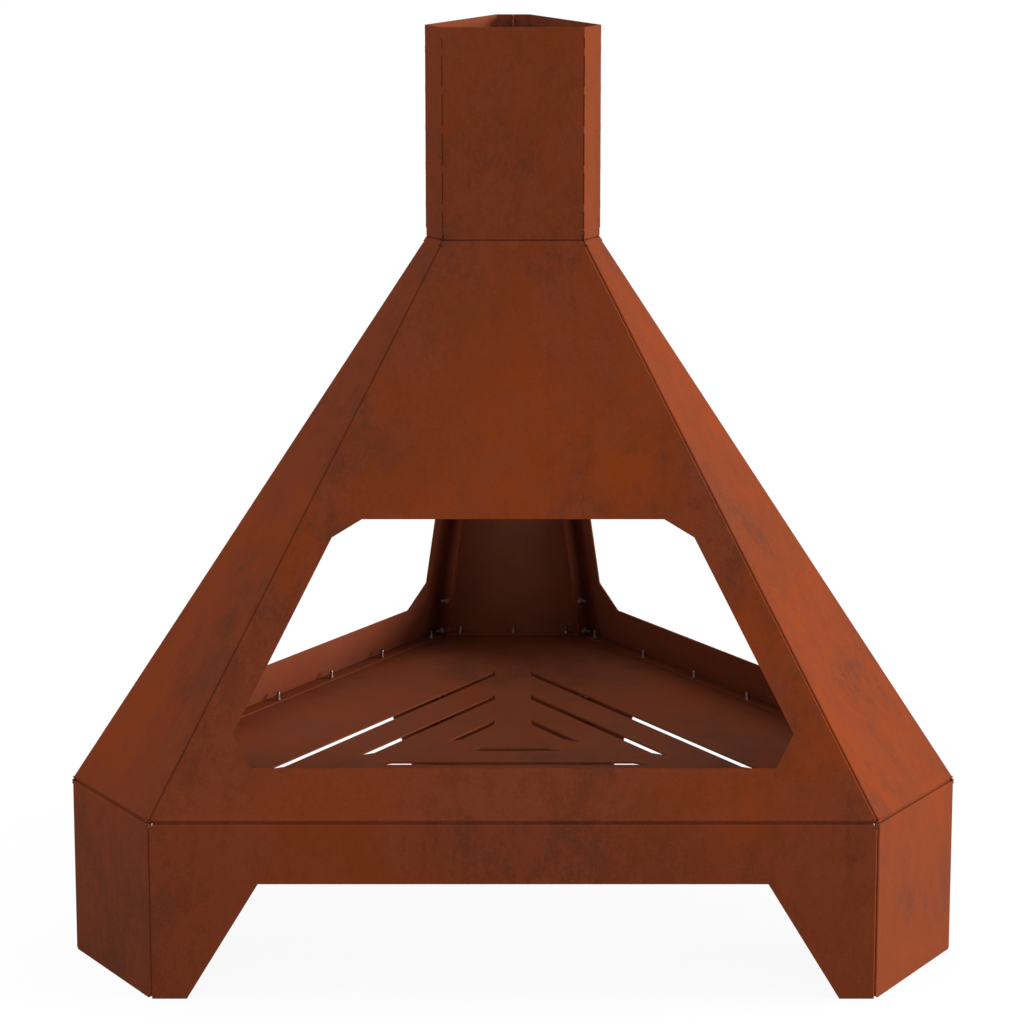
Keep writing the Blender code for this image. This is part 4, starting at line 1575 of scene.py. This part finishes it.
@dataclass(frozen=True)
class Studio:
    """Pale floor, white surroundings, one soft light from the right, and the camera."""

    floor_reach: float = 60.0
    floor_z: float = -0.0002
    floor_bounce: float = 0.62
    floor_shadow: float = 0.07
    key_strength: float = 5.7
    key_angle: float = 30.0
    key_turn: float = -6.0
    key_rise: float = 7.5
    picture_px: int = 1024
    focal_px: float = 3860.5
    sensor_mm: float = 36.0
    view_reach: float = 200.0
    distance: float = 5.500
    camera_x: float = -0.00144
    camera_z: float = 1.7781
    pitch: float = 0.2122

    def floor(self) -> None:
        """Pale floor: white to the camera apart from the object's shadow, and dim to the rest."""
        reach, z = self.floor_reach, self.floor_z
        outline = [(-reach, -reach, z), (reach, -reach, z), (reach, reach, z), (-reach, reach, z)]
        mesh = bpy.data.meshes.new("studio floor")
        mesh.from_pydata(outline, [], [range(len(outline))])
        shown("studio_floor", mesh)
        made = bpy.data.materials.new("studio floor")
        made.use_nodes = True
        graph = Graph(made.node_tree)
        graph.tree.nodes.clear()
        shade, faint = (graph.node("ShaderNodeBsdfDiffuse", {"Color": (grey, grey, grey, 1)})
                        for grey in (self.floor_bounce, self.floor_shadow))
        glow = graph.node("ShaderNodeEmission", {"Color": WHITE,
                                                 "Strength": 1 - self.floor_shadow})
        both = graph.node("ShaderNodeAddShader", {0: faint.outputs[0], 1: glow.outputs[0]})
        rays = graph.node("ShaderNodeLightPath").outputs
        seen = graph.maths("MAXIMUM", rays["Is Camera Ray"],
                           graph.maths("MAXIMUM", rays["Is Glossy Ray"],
                                       rays["Is Transmission Ray"]))
        mixed = graph.node("ShaderNodeMixShader", {0: seen, 1: shade.outputs[0],
                                                   2: both.outputs[0]})
        graph.node("ShaderNodeOutputMaterial", {"Surface": mixed.outputs[0]})
        mesh.materials.append(made)

    def lights(self) -> None:
        """White surroundings, and a low soft light from the right."""
        world = bpy.data.worlds.new("studio")
        bpy.context.scene.world = world
        world.use_nodes = True
        world.node_tree.nodes["Background"].inputs["Color"].default_value = WHITE
        lamp = bpy.data.lights.new("key light", "SUN")
        lamp.energy = self.key_strength
        lamp.angle = math.radians(self.key_angle)
        turns = (90 - self.key_rise, 0, 90 - self.key_turn)
        shown("key_light", lamp).rotation_euler = [math.radians(turn) for turn in turns]

    def camera(self) -> None:
        """The camera at the photograph's place and angle."""
        lens = bpy.data.cameras.new("camera")
        lens.sensor_width = self.sensor_mm
        lens.lens = self.focal_px * self.sensor_mm / self.picture_px
        lens.clip_end = self.view_reach
        item = shown("camera", lens)
        item.location = (self.camera_x, CENTRE[1] - self.distance, self.camera_z)
        item.rotation_euler = (math.pi / 2 - self.pitch, 0, 0)
        bpy.context.scene.camera = item

    def build(self) -> None:
        """Set up floor, lights, camera and view transform."""
        self.floor()
        self.lights()
        self.camera()
        bpy.context.scene.view_settings.view_transform = "Standard"


def main() -> None:
    """Load the frame, dress it and light it."""
    logging.basicConfig(level=logging.INFO, format="%(message)s")
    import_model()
    finishes = Finishes()
    for part in (Base(), Hood(), Chimney(), FirePlate(), Fasteners()):
        part.build(finishes)
    Studio().build()
    bpy.context.view_layer.update()


if __name__ == "__main__":
    main()
